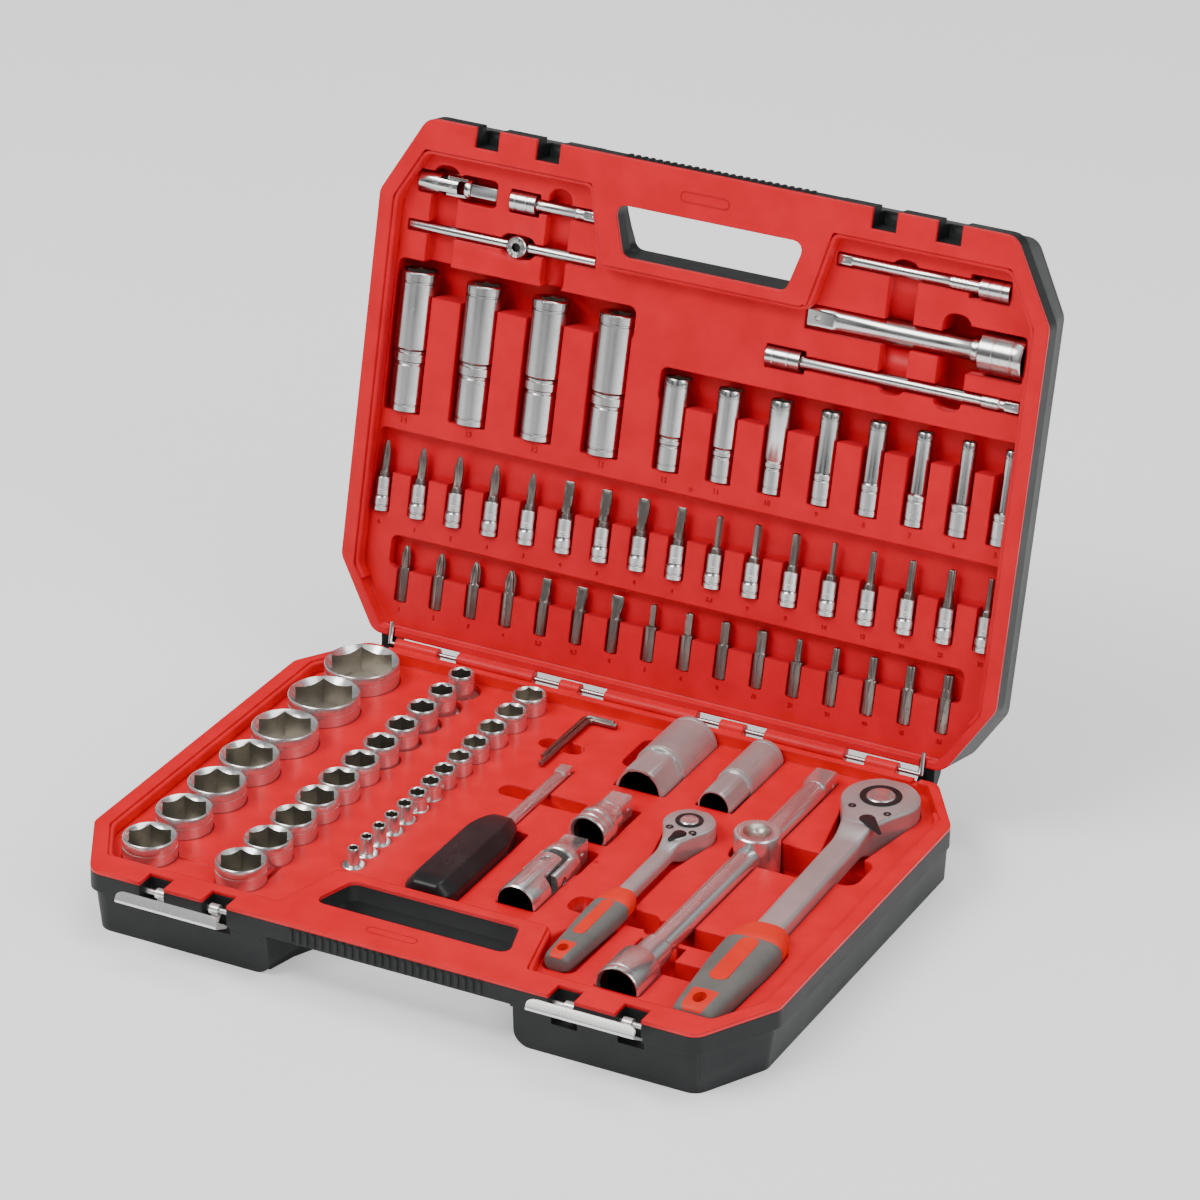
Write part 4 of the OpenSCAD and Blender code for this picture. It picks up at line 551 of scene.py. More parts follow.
def makeDeepSockets(node, setup):
    work = bmesh.new()
    tall = setup["long"]
    for size, u in zip(setup["sizes"], setup["places"]):
        if node == "deep_sockets_half":
            foot, nose = 9.7, 10.75
            outer = [(foot - 0.6, 0), (foot, 0.6)] + groove(foot, (3.4, 3.7, 4.4, 4.7), 0.35)
            outer += [(foot, 25.6), (9.2, 26.3), (9.2, 27.4), (10.3, 28.1), (10.3, 32.2), (foot, 32.8),
                      (foot, 33.8), (nose, 35.2)]
            outer += groove(nose, (tall - 6.4, tall - 6.1, tall - 5.2, tall - 4.9), 0.4)
            outer += [(nose, tall - 0.9), (nose - 0.45, tall - 0.25), (nose - 0.85, tall)]
        else:
            nose = (size * 1.15 + 1.2) / 2
            foot = 6 if nose < 6 else nose * 0.9
            outer = [(foot - 0.6, 0), (foot, 0.6)] + groove(foot, (3.4, 3.6, 4.2, 4.4), 0.3) + [(foot, 13)]
            if nose < 6:
                outer += [(foot - 0.3, 13.3), (foot - 0.3, 14), (foot, 14.3), (foot, 16.6),
                          (foot - 0.5, 17.2)]
                outer += [(nose + 0.1, 17.6), (nose, 18.4)]
            else:
                outer += [(foot - 0.35, 13.4), (foot - 0.35, 14.2), (foot + 0.2, 14.8), (foot + 0.2, 16.8)]
                outer += [(foot - 0.2, 17.3), (foot - 0.2, 18), (nose, 19.4)]
            outer += groove(nose, (tall - 4.2, tall - 4.0, tall - 3.5, tall - 3.3), 0.25)
            outer += [(nose, tall - 0.6), (nose - 0.35, tall)]
        bore = boreRings(tall, size, setup["drive"], setup["deep"])
        bore[0] = (min(bore[0][0], outer[-1][0] - 0.1), tall - 0.05)
        inner = range(len(outer) + 1, len(outer) + len(bore) - 1)
        ringSkin(work, outer + bore, inLid(u, setup["v"], setup["depth"]) @ towardsFront, setup["turns"],
                 inner)
    # the bore faces: duller steel darkened further with painted shade
    finishPiece(work, node, inner="bore_steel")


# the spinner's handle: its outline, and along it the shares of that outline's width and height
handleSetup = {"place": (-12, 226, -6.5), "round": 2.6,
               "outline": ((-14, -4.6), (-8.6, -11), (8.6, -11), (14, -4.6), (14, 4.6), (8.6, 11),
                           (-8.6, 11), (-14, 4.6)),
               "rings": ((0, 0.60, 0.62), (0.3, 0.70, 0.73), (1.0, 0.78, 0.82), (2.4, 0.855, 0.90),
                         (4.5, 0.93, 0.955), (7.5, 0.985, 0.99), (11, 1, 1), (60, 1, 1), (64, 0.985, 0.99),
                         (70, 0.90, 0.95), (78, 0.74, 0.82), (82, 0.64, 0.72), (84.2, 0.56, 0.64),
                         (85, 0.46, 0.54))}


# points round a corner, from start to end
def easedCorner(start, corner, end, steps):
    return [(1 - t) ** 2 * start + 2 * t * (1 - t) * corner + t ** 2 * end
            for t in (step / steps for step in range(steps + 1))]


# a closed outline with its corners rounded
def roundedLoop(points, radius, steps=5):
    loop = []
    for index, corner in enumerate(points):
        corner = Vector(corner)
        before = Vector(points[index - 1]) - corner
        after = Vector(points[(index + 1) % len(points)]) - corner
        half = before.angle(after) / 2
        reach = min(radius / math.tan(half), before.length * 0.48, after.length * 0.48)
        start, end = corner + before.normalized() * reach, corner + after.normalized() * reach
        loop += easedCorner(start, corner, end, steps)
    return loop


# loops of equally many points joined in their order, with both ends closed
def loftLoops(work, loops):
    rows = [[work.verts.new(point) for point in loop] for loop in loops]
    for low, high in zip(rows, rows[1:]):
        for step in range(len(low)):
            after = (step + 1) % len(low)
            work.faces.new((low[step], low[after], high[after], high[step]))
    work.faces.new(rows[0][::-1])
    work.faces.new(rows[-1])


def makeDriverHandle():
    setup = handleSetup
    work = bmesh.new()
    outline = roundedLoop(setup["outline"], setup["round"])
    place = inBase(*setup["place"])
    loops = [[place @ at(x * wide, along, z * tall) for x, z in outline]
             for along, wide, tall in setup["rings"]]
    loftLoops(work, loops)
    finishPiece(work, "driver_handle", sharp=50)


# cuts one mesh out of a piece and keeps the result
def cutBy(piece, cutter):
    holder = bpy.data.objects.new("cutter", cutter)
    bpy.context.collection.objects.link(holder)
    tool = piece.modifiers.new("cut", "BOOLEAN")
    tool.object = holder
    tool.operation = "DIFFERENCE"
    tool.solver = "EXACT"
    tool.material_mode = "TRANSFER"
    bpy.context.view_layer.update()
    result = bpy.data.meshes.new_from_object(piece.evaluated_get(bpy.context.evaluated_depsgraph_get()))
    result.name = piece.name
    piece.modifiers.remove(tool)
    piece.data = result
    bpy.data.objects.remove(holder)


# a turned plug to cut with, whose look the cut faces take
def tubeMesh(rings, place, look):
    work = bmesh.new()
    ringSkin(work, rings, place, 48, closed=False)
    bmesh.ops.recalc_face_normals(work, faces=work.faces)
    mesh = bpy.data.meshes.new("cutter")
    work.to_mesh(mesh)
    work.free()
    mesh.materials.append(materials[look])
    return mesh


# neck: width and height; grip: width, height and length; lever: x, y, turn, length and knob
ratchets = {
    "half": {"place": (150.5, 36, 3.2), "yaw": 1.5, "radius": 20.5, "head": 20, "long": 232, "edge": 1.7,
             "neck": (15.5, 11), "grip": (31, 17, 92), "hole": (3.2, 4.6), "padHalf": 4.9, "plate": 1.6,
             "lever": (3, -25, 45, 17.5, 4.2)},
    "quarter": {"place": (75, 104.5, 2.4), "yaw": 0.6, "radius": 13.6, "head": 14, "long": 150, "edge": 1.2,
                "neck": (9, 7.5), "grip": (19.4, 12, 76), "hole": (2.7, 3.4), "padHalf": 3.2, "plate": 1.2,
                "lever": (1.5, -14.5, -14, 9, 3.5)},
}
# along the grip from its free end: share of the length, of the width and of the height
gripRings = ((0, 0.50, 0.60), (0.006, 0.60, 0.72), (0.018, 0.68, 0.82), (0.04, 0.735, 0.90),
             (0.08, 0.765, 0.95), (0.14, 0.79, 0.965), (0.19, 0.81, 0.97), (0.24, 0.83, 0.975),
             (0.33, 0.865, 0.98), (0.42, 0.905, 0.985), (0.52, 0.95, 0.995), (0.62, 0.985, 1), (0.70, 1, 1),
             (0.77, 1, 1), (0.795, 0.99, 0.99), (0.80, 0.955, 0.955), (0.806, 0.955, 0.955),
             (0.812, 0.985, 0.985), (0.86, 0.965, 0.97), (0.90, 0.925, 0.945), (0.94, 0.85, 0.90),
             (0.97, 0.77, 0.84), (0.99, 0.68, 0.77), (1, 0.60, 0.68))
# shares of the length where the bent seam lies, where the red collar starts and where the red field round the
# hanging hole ends, and a limit on the field's width
gripLooks = {"seam": (0.79, 0.815), "collarFrom": 0.806, "tailTo": 0.19, "tailSide": 0.42}


# points of an arc about (x, y), from a first angle on through a turn, in degrees
def arc(x, y, radius, first, turn, steps):
    angles = [math.radians(first + turn * step / steps) for step in range(steps + 1)]
    return [(x + radius * math.cos(angle), y + radius * math.sin(angle)) for angle in angles]


def smoothStep(value):
    value = min(1.0, max(0.0, value))
    return value * value * (3 - 2 * value)


# half the width of a ratchet body at y: the head's circle about 0 ends 120 degrees round from its far side,
# and a smooth curve leaves along the circle's tangent and runs into the neck
def bodyReach(setup, y):
    r, neck = setup["radius"], setup["neck"][0] / 2
    if y > -0.5 * r:
        return math.sqrt(max(0.0, r * r - y * y))
    length = 1.55 * r
    t = min(1.0, (-0.5 * r - y) / length)
    start, slope = 0.866 * r, -0.577 * length
    leave, lean, join = 2 * t ** 3 - 3 * t ** 2 + 1, t ** 3 - 2 * t ** 2 + t, 3 * t ** 2 - 2 * t ** 3
    return leave * start + lean * slope + join * neck


# a rounded rectangle or oval section between two heights, the same number of points whatever its size
def section(reach, low, high, edge, y, place, steps=6):
    edge = min(edge, reach * 0.9, (high - low) * 0.48)
    loop = []
    for cx, cz, first in ((reach - edge, high - edge, 0), (edge - reach, high - edge, 90),
                          (edge - reach, low + edge, 180), (reach - edge, low + edge, 270)):
        for step in range(steps + 1):
            angle = math.radians(first + 90 * step / steps)
            loop.append(place @ at(cx + edge * math.cos(angle), y, cz + edge * math.sin(angle)))
    return loop


def ratchetPlace(setup):
    return inBase(*setup["place"]) @ turned(setup["yaw"], "Z")


def makeRatchetBody(size, setup):
    work = bmesh.new()
    place, r, edge = ratchetPlace(setup), setup["radius"], setup["edge"]
    middle = -setup["grip"][1] / 2
    last = -setup["long"] + setup["grip"][2] - 6
    stations = [r * math.cos(math.radians(angle)) for angle in range(2, 120, 3)]
    stations += [-0.5 * r - 0.06 * r * step for step in range(1, 36)]
    while stations[-1] > last + 4:
        stations.append(stations[-1] - 4)
    loops = []
    for y in stations:
        sink = edge * (1 - math.sqrt(max(0.0, 1 - ((y - r + edge) / edge) ** 2))) if y > r - edge else 0
        fall = smoothStep((-1.55 * r - y) / (0.75 * r))
        rise = smoothStep((-1.2 * r - y) / (0.9 * r))
        high = -0.45 * (1 - fall) + (middle + setup["neck"][1] / 2) * fall - sink
        low = (0.3 - setup["head"]) * (1 - rise) + (middle - setup["neck"][1] / 2) * rise + sink
        loops.append(section(bodyReach(setup, y), low, high, edge + 1.2 * fall, y, place))
    loftLoops(work, loops)
    finishPiece(work, "ratchet_%s_body" % size, "satin_steel", sharp=50)


def makeRatchetPlate(size, setup):
    work = bmesh.new()
    place, r = ratchetPlace(setup), setup["radius"]
    ys = [(r - setup["plate"]) * math.cos(math.radians(angle)) for angle in range(0, 121, 4)]
    ys += [-0.5 * r - 0.08 * r * step for step in range(1, 12)]
    side = [(max(0.0, bodyReach(setup, y * r / (r - setup["plate"]) if y > 0 else y) - setup["plate"]), y)
            for y in ys]
    end = side[-1]
    side += [(end[0] * 0.93, end[1] - 1.2), (end[0] * 0.78, end[1] - 2.0)]
    outline = [(-x, y) for x, y in side[:0:-1]] + side
    middle = Vector((0, -0.25 * r))
    loops = []
    for inset, z in ((0, -2.0), (0, -0.35), (0.12, -0.12), (0.38, 0.0)):
        loop = []
        for x, y in outline:
            away = (Vector((x, y)) - middle).normalized() * inset
            loop.append(place @ at(x - away.x, y - away.y, z))
        loops.append(loop)
    loftLoops(work, loops)
    finishPiece(work, "ratchet_%s_cover" % size, "satin_steel", sharp=30)


def makeRatchetLever(size, setup):
    work = bmesh.new()
    x, y, turn, long, knob = setup["lever"]
    place = ratchetPlace(setup) @ moved(x, y, 0) @ turned(turn, "Z")
    tip = 1.1
    lean = math.degrees(math.asin((knob - tip) / (long - tip)))
    outline = arc(0, 0, knob, -lean, 180 + 2 * lean, 22)
    outline += arc(0, tip - long, tip, 180 + lean, 180 - 2 * lean, 10)
    loops = []
    for share, z in ((1.0, 0.02), (1.0, 0.3), (0.94, 0.5), (0.72, 0.62), (0.6, 0.7), (0.45, 0.8)):
        loops.append([place @ at(a * share, b * share - (1 - share) * long * 0.3, z) for a, b in outline])
    loftLoops(work, loops)
    finishPiece(work, "ratchet_%s_lever" % size, sharp=40)


def makeRatchetGrip(size, setup):
    work = bmesh.new()
    place = ratchetPlace(setup)
    wide, tall, length = setup["grip"]
    points = 72
    rows = []
    for along, w, h in gripRings:
        row = []
        atSeam = gripLooks["seam"][0] < along < gripLooks["seam"][1]
        for step in range(points):
            angle = 2 * math.pi * step / points
            c, d = math.cos(angle), math.sin(angle)
            x = math.copysign(abs(c) ** 0.72, c) * wide * w / 2
            z = math.copysign(abs(d) ** 0.72, d) * tall * h / 2 - tall / 2
            bend = 0.018 * length * (1 - (x / (wide * w / 2)) ** 2) if atSeam else 0
            row.append(work.verts.new(place @ at(x, -setup["long"] + along * length - bend, z)))
        rows.append(row)
    for index, (low, high) in enumerate(zip(rows, rows[1:])):
        along = gripRings[index][0]
        for step in range(points):
            after = (step + 1) % points
            face = work.faces.new((low[step], low[after], high[after], high[step]))
            side = abs(math.cos(2 * math.pi * (step + 0.5) / points))
            tail = along < gripLooks["tailTo"] and side < gripLooks["tailSide"]
            face.material_index = 1 if along >= gripLooks["collarFrom"] or tail else 0
    work.faces.new(rows[0][::-1])
    work.faces.new(rows[-1]).material_index = 1
    piece = finishPiece(work, "ratchet_%s_grip" % size, inner="red_grip", sharp=50)
    # the oval hole for hanging it up
    narrow, oval = setup["hole"]
    hole = lambda angle: 1 / math.hypot(math.cos(angle) / narrow, math.sin(angle) / oval)
    mouth = place @ moved(0, -setup["long"] + 0.105 * length, 0)
    cutBy(piece, tubeMesh([(hole, -tall - 2), (hole, 2)], mouth, "red_grip"))
    # the soft pad let into the grip's top
    pad = bmesh.new()
    half, start, run = setup["padHalf"], -setup["long"] + 0.3 * length, 0.48 * length
    loops = []
    for inset, z in ((0, -1.6), (0, 0.02), (0.25, 0.16), (0.8, 0.24), (1.5, 0.2)):
        outline = arc(0, start + run - half, half - inset, 0, 180, 12)
        outline += arc(0, start + half, half - inset, 180, 180, 12)
        loops.append([place @ at(x, y, z) for x, y in outline])
    loftLoops(pad, loops)
    finishPiece(pad, "ratchet_%s_grip_insert" % size, sharp=40)


# a crossed knurl as a function of the angle
def knurl(radius, deep, count, pitch, z):
    def reach(angle):
        ridge = abs(math.sin(count * angle + pitch * z))
        return radius + deep * ridge * abs(math.sin(count * angle - pitch * z))
    return reach


# the spring ball in a drive square
def addBall(work, place, radius):
    centre = Matrix.Translation(place)
    bmesh.ops.create_uvsphere(work, u_segments=16, v_segments=10, radius=radius / 1000, matrix=centre)


# half-inch bars; band: where a knurl starts and ends, and its radius
extensionSetup = {
    "long_extension": {"place": inBase(111.5, 258, -6) @ towardsHinge, "long": 241, "bar": 6.5,
                       "end": 12, "endLong": 25, "band": (28, 44, 8.0), "drive": 12.7, "turns": 96},
    "drive_adapter": {"place": inBase(31, 133, -4) @ towardsHinge, "long": 40, "bar": 8.6,
                      "end": 10.75, "endLong": 15, "band": (17.5, 23, 8.4), "drive": 12.7, "turns": 96},
}


# bars in the lid; bar: radius at both ends, end: radius and length, way: to the right or to the left
shortExtensions = {
    "extension_50": {"place": (-119, 250.5, 12), "way": 1, "long": 51.5, "bar": (3.5, 3.5),
                     "end": (6, 15.5), "band": (38, 41, 3.9), "drive": 6.35},
    "extension_100": {"place": (166.4, 255.5, 12), "way": -1, "long": 96.4, "bar": (3.5, 3.5),
                      "end": (6, 17), "band": (22.5, 34, 4.2), "drive": 6.35},
    "extension_125": {"place": (178.5, 222.8, 15), "way": -1, "long": 121.8, "bar": (6.4, 7.2),
                      "end": (11.4, 25), "band": (26, 30, 7.2), "drive": 12.7},
    "extension_150": {"place": (37.2, 198, 12), "way": 1, "long": 142, "bar": (3.5, 3.3), "end": (6, 20),
                      "band": (121, 131, 4.2), "drive": 6.35},
}


def makeShortExtension(node, setup):
    (near, far), (end, endLong), drive = setup["bar"], setup["end"], setup["drive"]
    first, last, band = setup["band"]
    scale, long = drive / 12.7, setup["long"]
    tip = long - drive * 1.3
    mouth = squareReach(drive + 0.2)
    rings = [(0.01, 14 * scale), (mouth, 14 * scale), (mouth, 3.2 * scale),
             (atLeast(mouth, end * 0.8), 1.6 * scale), (end - 0.9 * scale, 0), (end - 0.3 * scale, 0.2),
             (end, 0.8 * scale)]
    for start in (endLong * 0.2, endLong * 0.62):
        rings += groove(end, (start, start + 0.3, start + 0.9, start + 1.2), 0.3)
    rings += [(end, endLong - 1.2 * scale), (end * 0.9, endLong - 0.3), (near * 1.12, endLong)]
    thick = lambda z: near + (far - near) * smoothStep((z - long * 0.45) / (long * 0.4))
    if first > long * 0.5:
        rings += [(thick(z), z) for z in (endLong + 1.2, long * 0.4, first - 0.4)]
    rings += [(knurl(band - 0.15, 0.15, 12, 1.3, z), z)
              for z in (first + 0.35 + 0.7 * k for k in range(int((last - first) / 0.7)))]
    rings += [(thick(z), z) for z in (last + 0.4, last + (tip - last) * 0.3, last + (tip - last) * 0.6,
                                      tip - 1.6 * scale)]
    square = squareReach(drive - 0.1)
    rings += [(atMost(square, far), tip), (atMost(square, drive * 0.6), tip + 1.2 * scale),
              (atMost(square, drive * 0.6), long - 1.4 * scale),
              (atMost(squareReach(drive - 1.6 * scale), drive * 0.53), long - 0.1), (0.01, long)]
    work = bmesh.new()
    place = inLid(*setup["place"]) @ turned(90 * setup["way"], "Y")
    ringSkin(work, rings, place, 96, inner=(0, 1, 2), closed=False)
    addBall(work, place @ at(0.4 * drive * setup["way"], 0, long - 0.5 * drive), 0.15 * drive)
    # the drive square's inside is painted shade
    finishPiece(work, node, inner="black_bore")


def makeExtension(node, setup):
    end, bar, drive, long = setup["end"], setup["bar"], setup["drive"], setup["long"]
    first, last, band = setup["band"]
    tip = long - drive * 1.25
    mouth = squareReach(drive + 0.2)
    rings = [(0.01, 14), (mouth, 14), (mouth, 4.2), (atLeast(mouth, end - 2.2), 2.2), (end - 1.3, 0.35),
             (end - 0.9, 0), (end - 0.35, 0.15), (end, 0.7)] + groove(end, (3.0, 3.3, 4.1, 4.4), 0.35)
    if node == "drive_adapter":
        rings += groove(end, (8.0, 8.4, 9.6, 10), 0.5)
    rings += [(end, setup["endLong"] - 1.0), (end - 0.6, setup["endLong"]), (band + 0.3, first - 0.6)]
    z = first
    while z <= last:
        rings.append((knurl(band, 0.24, 14, 1.25, z), z))
        z += 0.7
    square, eased = atMost(squareReach(drive), drive * 0.645), atMost(squareReach(drive - 1.4),
                                                                      drive * 0.56)
    rings += [(band - 0.1, last + 0.4), (bar, last + 1.2), (bar, tip - 0.6), (bar - 0.5, tip)]
    rings += [(square, tip + 0.1), (square, long - 1.2), (eased, long - 0.1), (0.01, long)]
    work = bmesh.new()
    ringSkin(work, rings, setup["place"], setup["turns"], inner=(0, 1, 2), closed=False)
    addBall(work, setup["place"] @ at(drive * 0.4, 0, long - 6), 1.9)
    # the drive square's inside is painted shade
    finishPiece(work, node, inner="black_bore")


# spark-plug sockets: place of the foot, outer width, nut size, radius of the mouth
plugSetup = {
    "plug_socket_large": {"place": (30.4, 9.5, -7.6), "long": 63.5, "wide": 29, "size": 21, "mouth": 11.6,
                          "drive": 12.7},
    "plug_socket_small": {"place": (73, 9.5, -6), "long": 62.5, "wide": 20.5, "size": 14, "mouth": 8.2,
                          "drive": 9.5},
}


def makePlugSocket(node, setup):
    r, tall = setup["wide"] / 2, setup["long"]
    nut = hexReach(setup["wide"] * 0.86)
    shoulder = tall * 0.62
    bore = boreRings(tall, setup["size"], setup["drive"], tall * 0.28)
    bore[0] = (setup["mouth"], tall - 0.05)
    bore[1] = (bore[1][0], lambda angle: tall - 0.05 - max(0.0, setup["mouth"] - bore[1][0](angle)) / 1.2)
    rings = [(r - 0.7, 0), (r, 0.7)] + groove(r, (3.2, 3.4, 4, 4.3), 0.3)
    rings += groove(r, (shoulder - 2.4, shoulder - 2.2, shoulder - 1.6, shoulder - 1.4), 0.3)
    rings += [(r, shoulder - 0.4), (r - 0.5, shoulder), (r - 0.9, shoulder + 0.25),
              (atMost(nut, r - 1.0), shoulder + 0.7), (atMost(nut, r - 0.6), shoulder + 3.4),
              (atMost(nut, r - 0.6), tall - 1.2), (atMost(nut, r - 1.3), tall - 0.1)]
    inner = range(len(rings), len(rings) + len(bore) - 1)
    work = bmesh.new()
    ringSkin(work, rings + bore, inBase(*setup["place"]) @ towardsFront, 96, inner)
    # the bore is painted shade
    finishPiece(work, node, "satin_steel", "black_bore")


bitSetup = {"shank": 6.35, "long": 31, "hex": 19, "v": 21.5, "depth": 11, "turns": 48}
bitPlaces = tuple(-158.5 + i * 21.3 for i in range(16))
bitRows = {"bits_cross": ("cross", 0, 4), "bits_slotted": ("slot", 4, 7), "bits_hex": ("hex", 7, 11),
           "bits_star": ("star", 11, 16)}
tipSetup = {"across": 5.5, "hex": 12, "neck": 2.45, "long": 29, "v": 79.1, "depth": 9.8, "turns": 36}
tipPlaces = tuple(-176.5 + i * 22.12 for i in range(17))
tipKinds = ("cross",) * 5 + ("slot",) * 4 + ("hex",) * 4 + ("star",) * 4
bitSocketSetup = {"drive": 6.45, "bore": 5.6, "v": 69, "depth": 9.8, "turns": 48}


# outlines of a cross or star, and of a flat blade
def lobes(radius, count, deep):
    return lambda angle: radius * (1 - deep + deep * abs(math.cos(count * angle / 2)) ** 0.7)


def blade(wide, thick):
    def reach(angle):
        across, along = max(1e-6, abs(math.cos(angle))), max(1e-6, abs(math.sin(angle)))
        return min(wide / across, thick / along)
    return reach


# rings of one bit's working end, from z to its point, larger with each step of size
def bitEnd(kind, size, z, top):
    run = top - z
    if kind == "cross":
        r = 2.5 + 0.2 * size
        return [(lobes(r, 4, 0.1), z + 0.4), (lobes(r, 4, 0.18), z + run * 0.25),
                (lobes(r, 4, 0.42), z + run * 0.5), (lobes(r * 0.97, 4, 0.5), z + run * 0.62),
                (lobes(r * 0.6, 4, 0.5), z + run * 0.86), (lobes(r * 0.32, 4, 0.45), top - 0.3), (0.3, top)]
    if kind == "slot":
        wide = 2.6 + 0.45 * size
        return [(blade(2.5, 2.3), z + 0.4), (blade(2.3, 1.9), z + run * 0.25),
                (blade(wide * 0.97, 1.2), z + run * 0.55), (blade(wide, 0.62), z + run * 0.78),
                (blade(wide, 0.5), top - 0.2), (blade(wide - 0.25, 0.35), top)]
    if kind == "hex":
        across = 3 + 0.8 * size
        return [(hexReach(across), z + 0.5), (hexReach(across), top - 0.5), (hexReach(across - 0.9), top)]
    r = 1.75 + 0.28 * size
    return [(r + 0.2, z + 0.5), (r + 0.1, z + run * 0.3), (lobes(r, 6, 0.24), z + run * 0.38),
            (lobes(r, 6, 0.24), top - 0.5), (lobes(r - 0.35, 6, 0.2), top)]


def makeBits(node, kind, first, last):
    work = bmesh.new()
    shank, hexTop, top = bitSetup["shank"], bitSetup["hex"], bitSetup["long"]
    nut = hexReach(shank)
    eased = atMost(nut, shank * 0.5)
    turn = turned(0 if kind == "slot" else 30, "Z")
    for index in range(first, last):
        place = inLid(bitPlaces[index], bitSetup["v"], bitSetup["depth"]) @ towardsFront @ turn
        rings = [(eased, 0), (nut, 0.5), (nut, hexTop - 0.8), (eased, hexTop)]
        rings += bitEnd(kind, index - first, hexTop, top)
        ringSkin(work, rings, place, bitSetup["turns"], closed=False)
    finishPiece(work, node, sharp=35)


def makeBitTips():
    work = bmesh.new()
    nut = hexReach(tipSetup["across"])
    for index, (u, kind) in enumerate(zip(tipPlaces, tipKinds)):
        place = inLid(u, tipSetup["v"], tipSetup["depth"]) @ towardsFront
        rings = [(nut, 0), (nut, tipSetup["hex"] - 0.9), (atMost(nut, tipSetup["neck"]), tipSetup["hex"])]
        rings += bitEnd(kind, index % 4 * 0.7 - 0.4, tipSetup["hex"], tipSetup["long"] - 0.1)
        ringSkin(work, rings, place, tipSetup["turns"], closed=False)
    finishPiece(work, "bit_socket_tips", sharp=35)


def makeBitSockets():
    work = bmesh.new()
    drive, nut = squareReach(bitSocketSetup["drive"]), hexReach(bitSocketSetup["bore"])
    for u in tipPlaces:
        place = inLid(u, bitSocketSetup["v"], bitSocketSetup["depth"]) @ towardsFront
        rings = [(4.6, 0), (5, 0.4)] + groove(5, (2.6, 2.9, 3.6, 3.9), 0.35)
        rings += [(5, 7.4), (4.5, 8.1), (4.4, 9)]
        rings += [(knurl(4.3, 0.22, 9, 1.9, z), z) for z in (9.4, 9.9, 10.4, 10.9, 11.4, 11.9, 12.4)]
        rings += [(4.4, 12.9), (4.4, 18.5), (4.0, 19), (3.5, 18.9), (nut, 18.2), (nut, 10), (0.6, 10),
                  (0.6, 6), (drive, 6), (drive, 0)]
        ringSkin(work, rings, place, bitSocketSetup["turns"], range(len(rings) - 6, len(rings) - 1))
    # the bore is painted shade
    finishPiece(work, "bit_sockets", inner="black_bore", sharp=35)


# the latches; heights and depths are taken from the pin
latchSetup = {"u": 114.5, "pin": (281.5, -7), "open": {"latch_left": 58, "latch_right": 50},
              "wide": 58, "thick": 1.2, "front": 7.1, "low": 6, "lean": 2, "top": 21.5, "bend": 1.6,
              "lip": 3.0, "arm": (15.5, 5), "curl": 1.55, "corner": 5,
              "dent": {"deep": 0.5, "low": 9.2, "high": 16.6, "side": 23, "slope": 1.2}}


# a latch's bent sheet cut at x: its front and bend, its lip over the catch, and back along the inside
def latchSheet(x):
    setup, dent = latchSetup, latchSetup["dent"]
    over = max(0.0, abs(x) - (setup["wide"] / 2 - setup["corner"])) / setup["corner"]
    drawn = 1 - math.sqrt(max(0.0, 1 - over * over))
    low, lip = setup["low"] + drawn * setup["corner"] * 0.9, setup["lip"] + drawn * 2.4
    top, bend, thick = setup["top"], setup["bend"], setup["thick"]
    front = lambda z: -setup["front"] - setup["lean"] * (z - setup["low"]) / (top - bend - setup["low"])
    deep = dent["deep"] * smoothStep((dent["side"] - abs(x)) / dent["slope"])
    heights = [(low + 0.35, 0), (max(low + 0.6, dent["low"]), 0), (max(low + 1, dent["low"] + 1), 1),
               (dent["high"] - 1, 1), (dent["high"], 0), (top - bend, 0)]
    sheet = [(front(low) + 0.35, low)] + [(front(z) + deep * share, z) for z, share in heights]
    middle = (front(top - bend) + bend, top - bend)
    sheet += arc(*middle, bend, 165, -75, 5)
    sheet += [(-lip - 0.3, top), (-lip, top - 0.35), (-lip, top - thick + 0.1), (-lip - 0.2, top - thick)]
    return sheet + [(middle[0] - 0.1, top - thick), (middle[0] - bend + thick, top - bend),
                    (front(low + 0.5) + thick, low + 0.3), (front(low) + thick - 0.25, low)]


def makeLatch(node):
    setup = latchSetup
    side = -1 if node == "latch_left" else 1
    v, z = setup["pin"]
    place = inBase(side * setup["u"], v, z) @ turned(setup["open"][node], "X")
    half, dent = setup["wide"] / 2, setup["dent"]
    steps = [half, half - 0.05, half - 0.25, half - 0.7, half - 1.4, half - 2.4, half - 3.6, half - 5,
             dent["side"], dent["side"] - dent["slope"] / 2, dent["side"] - dent["slope"], 12]
    work = bmesh.new()
    across = [-step for step in steps] + steps[::-1]
    loftLoops(work, [[place @ at(x, *point) for point in latchSheet(x)] for x in across])
    # each arm is the same sheet, run in under the plate and curled round the pin
    middle, wide = setup["arm"]
    small, large = setup["curl"], setup["curl"] + setup["thick"]
    front, root = -setup["front"], setup["low"] + 1.2
    arm = [(front + 0.05, root), (front, 1.2 - large), (front + 0.35, 0.35 - large), (front + 1.2, -large)]
    arm += arc(0, 0, large, -90, 285, 19) + arc(0, 0, small, -90, 285, 19)[::-1]
    arm += [(front + 1.5, -small), (front + setup["thick"], -small + 0.3), (front + setup["thick"], root)]
    for end in (-1, 1):
        loftLoops(work, [[place @ at(end * middle + x, *point) for point in arm]
                         for x in (-wide / 2, wide / 2)])
    finishPiece(work, node, sharp=35)


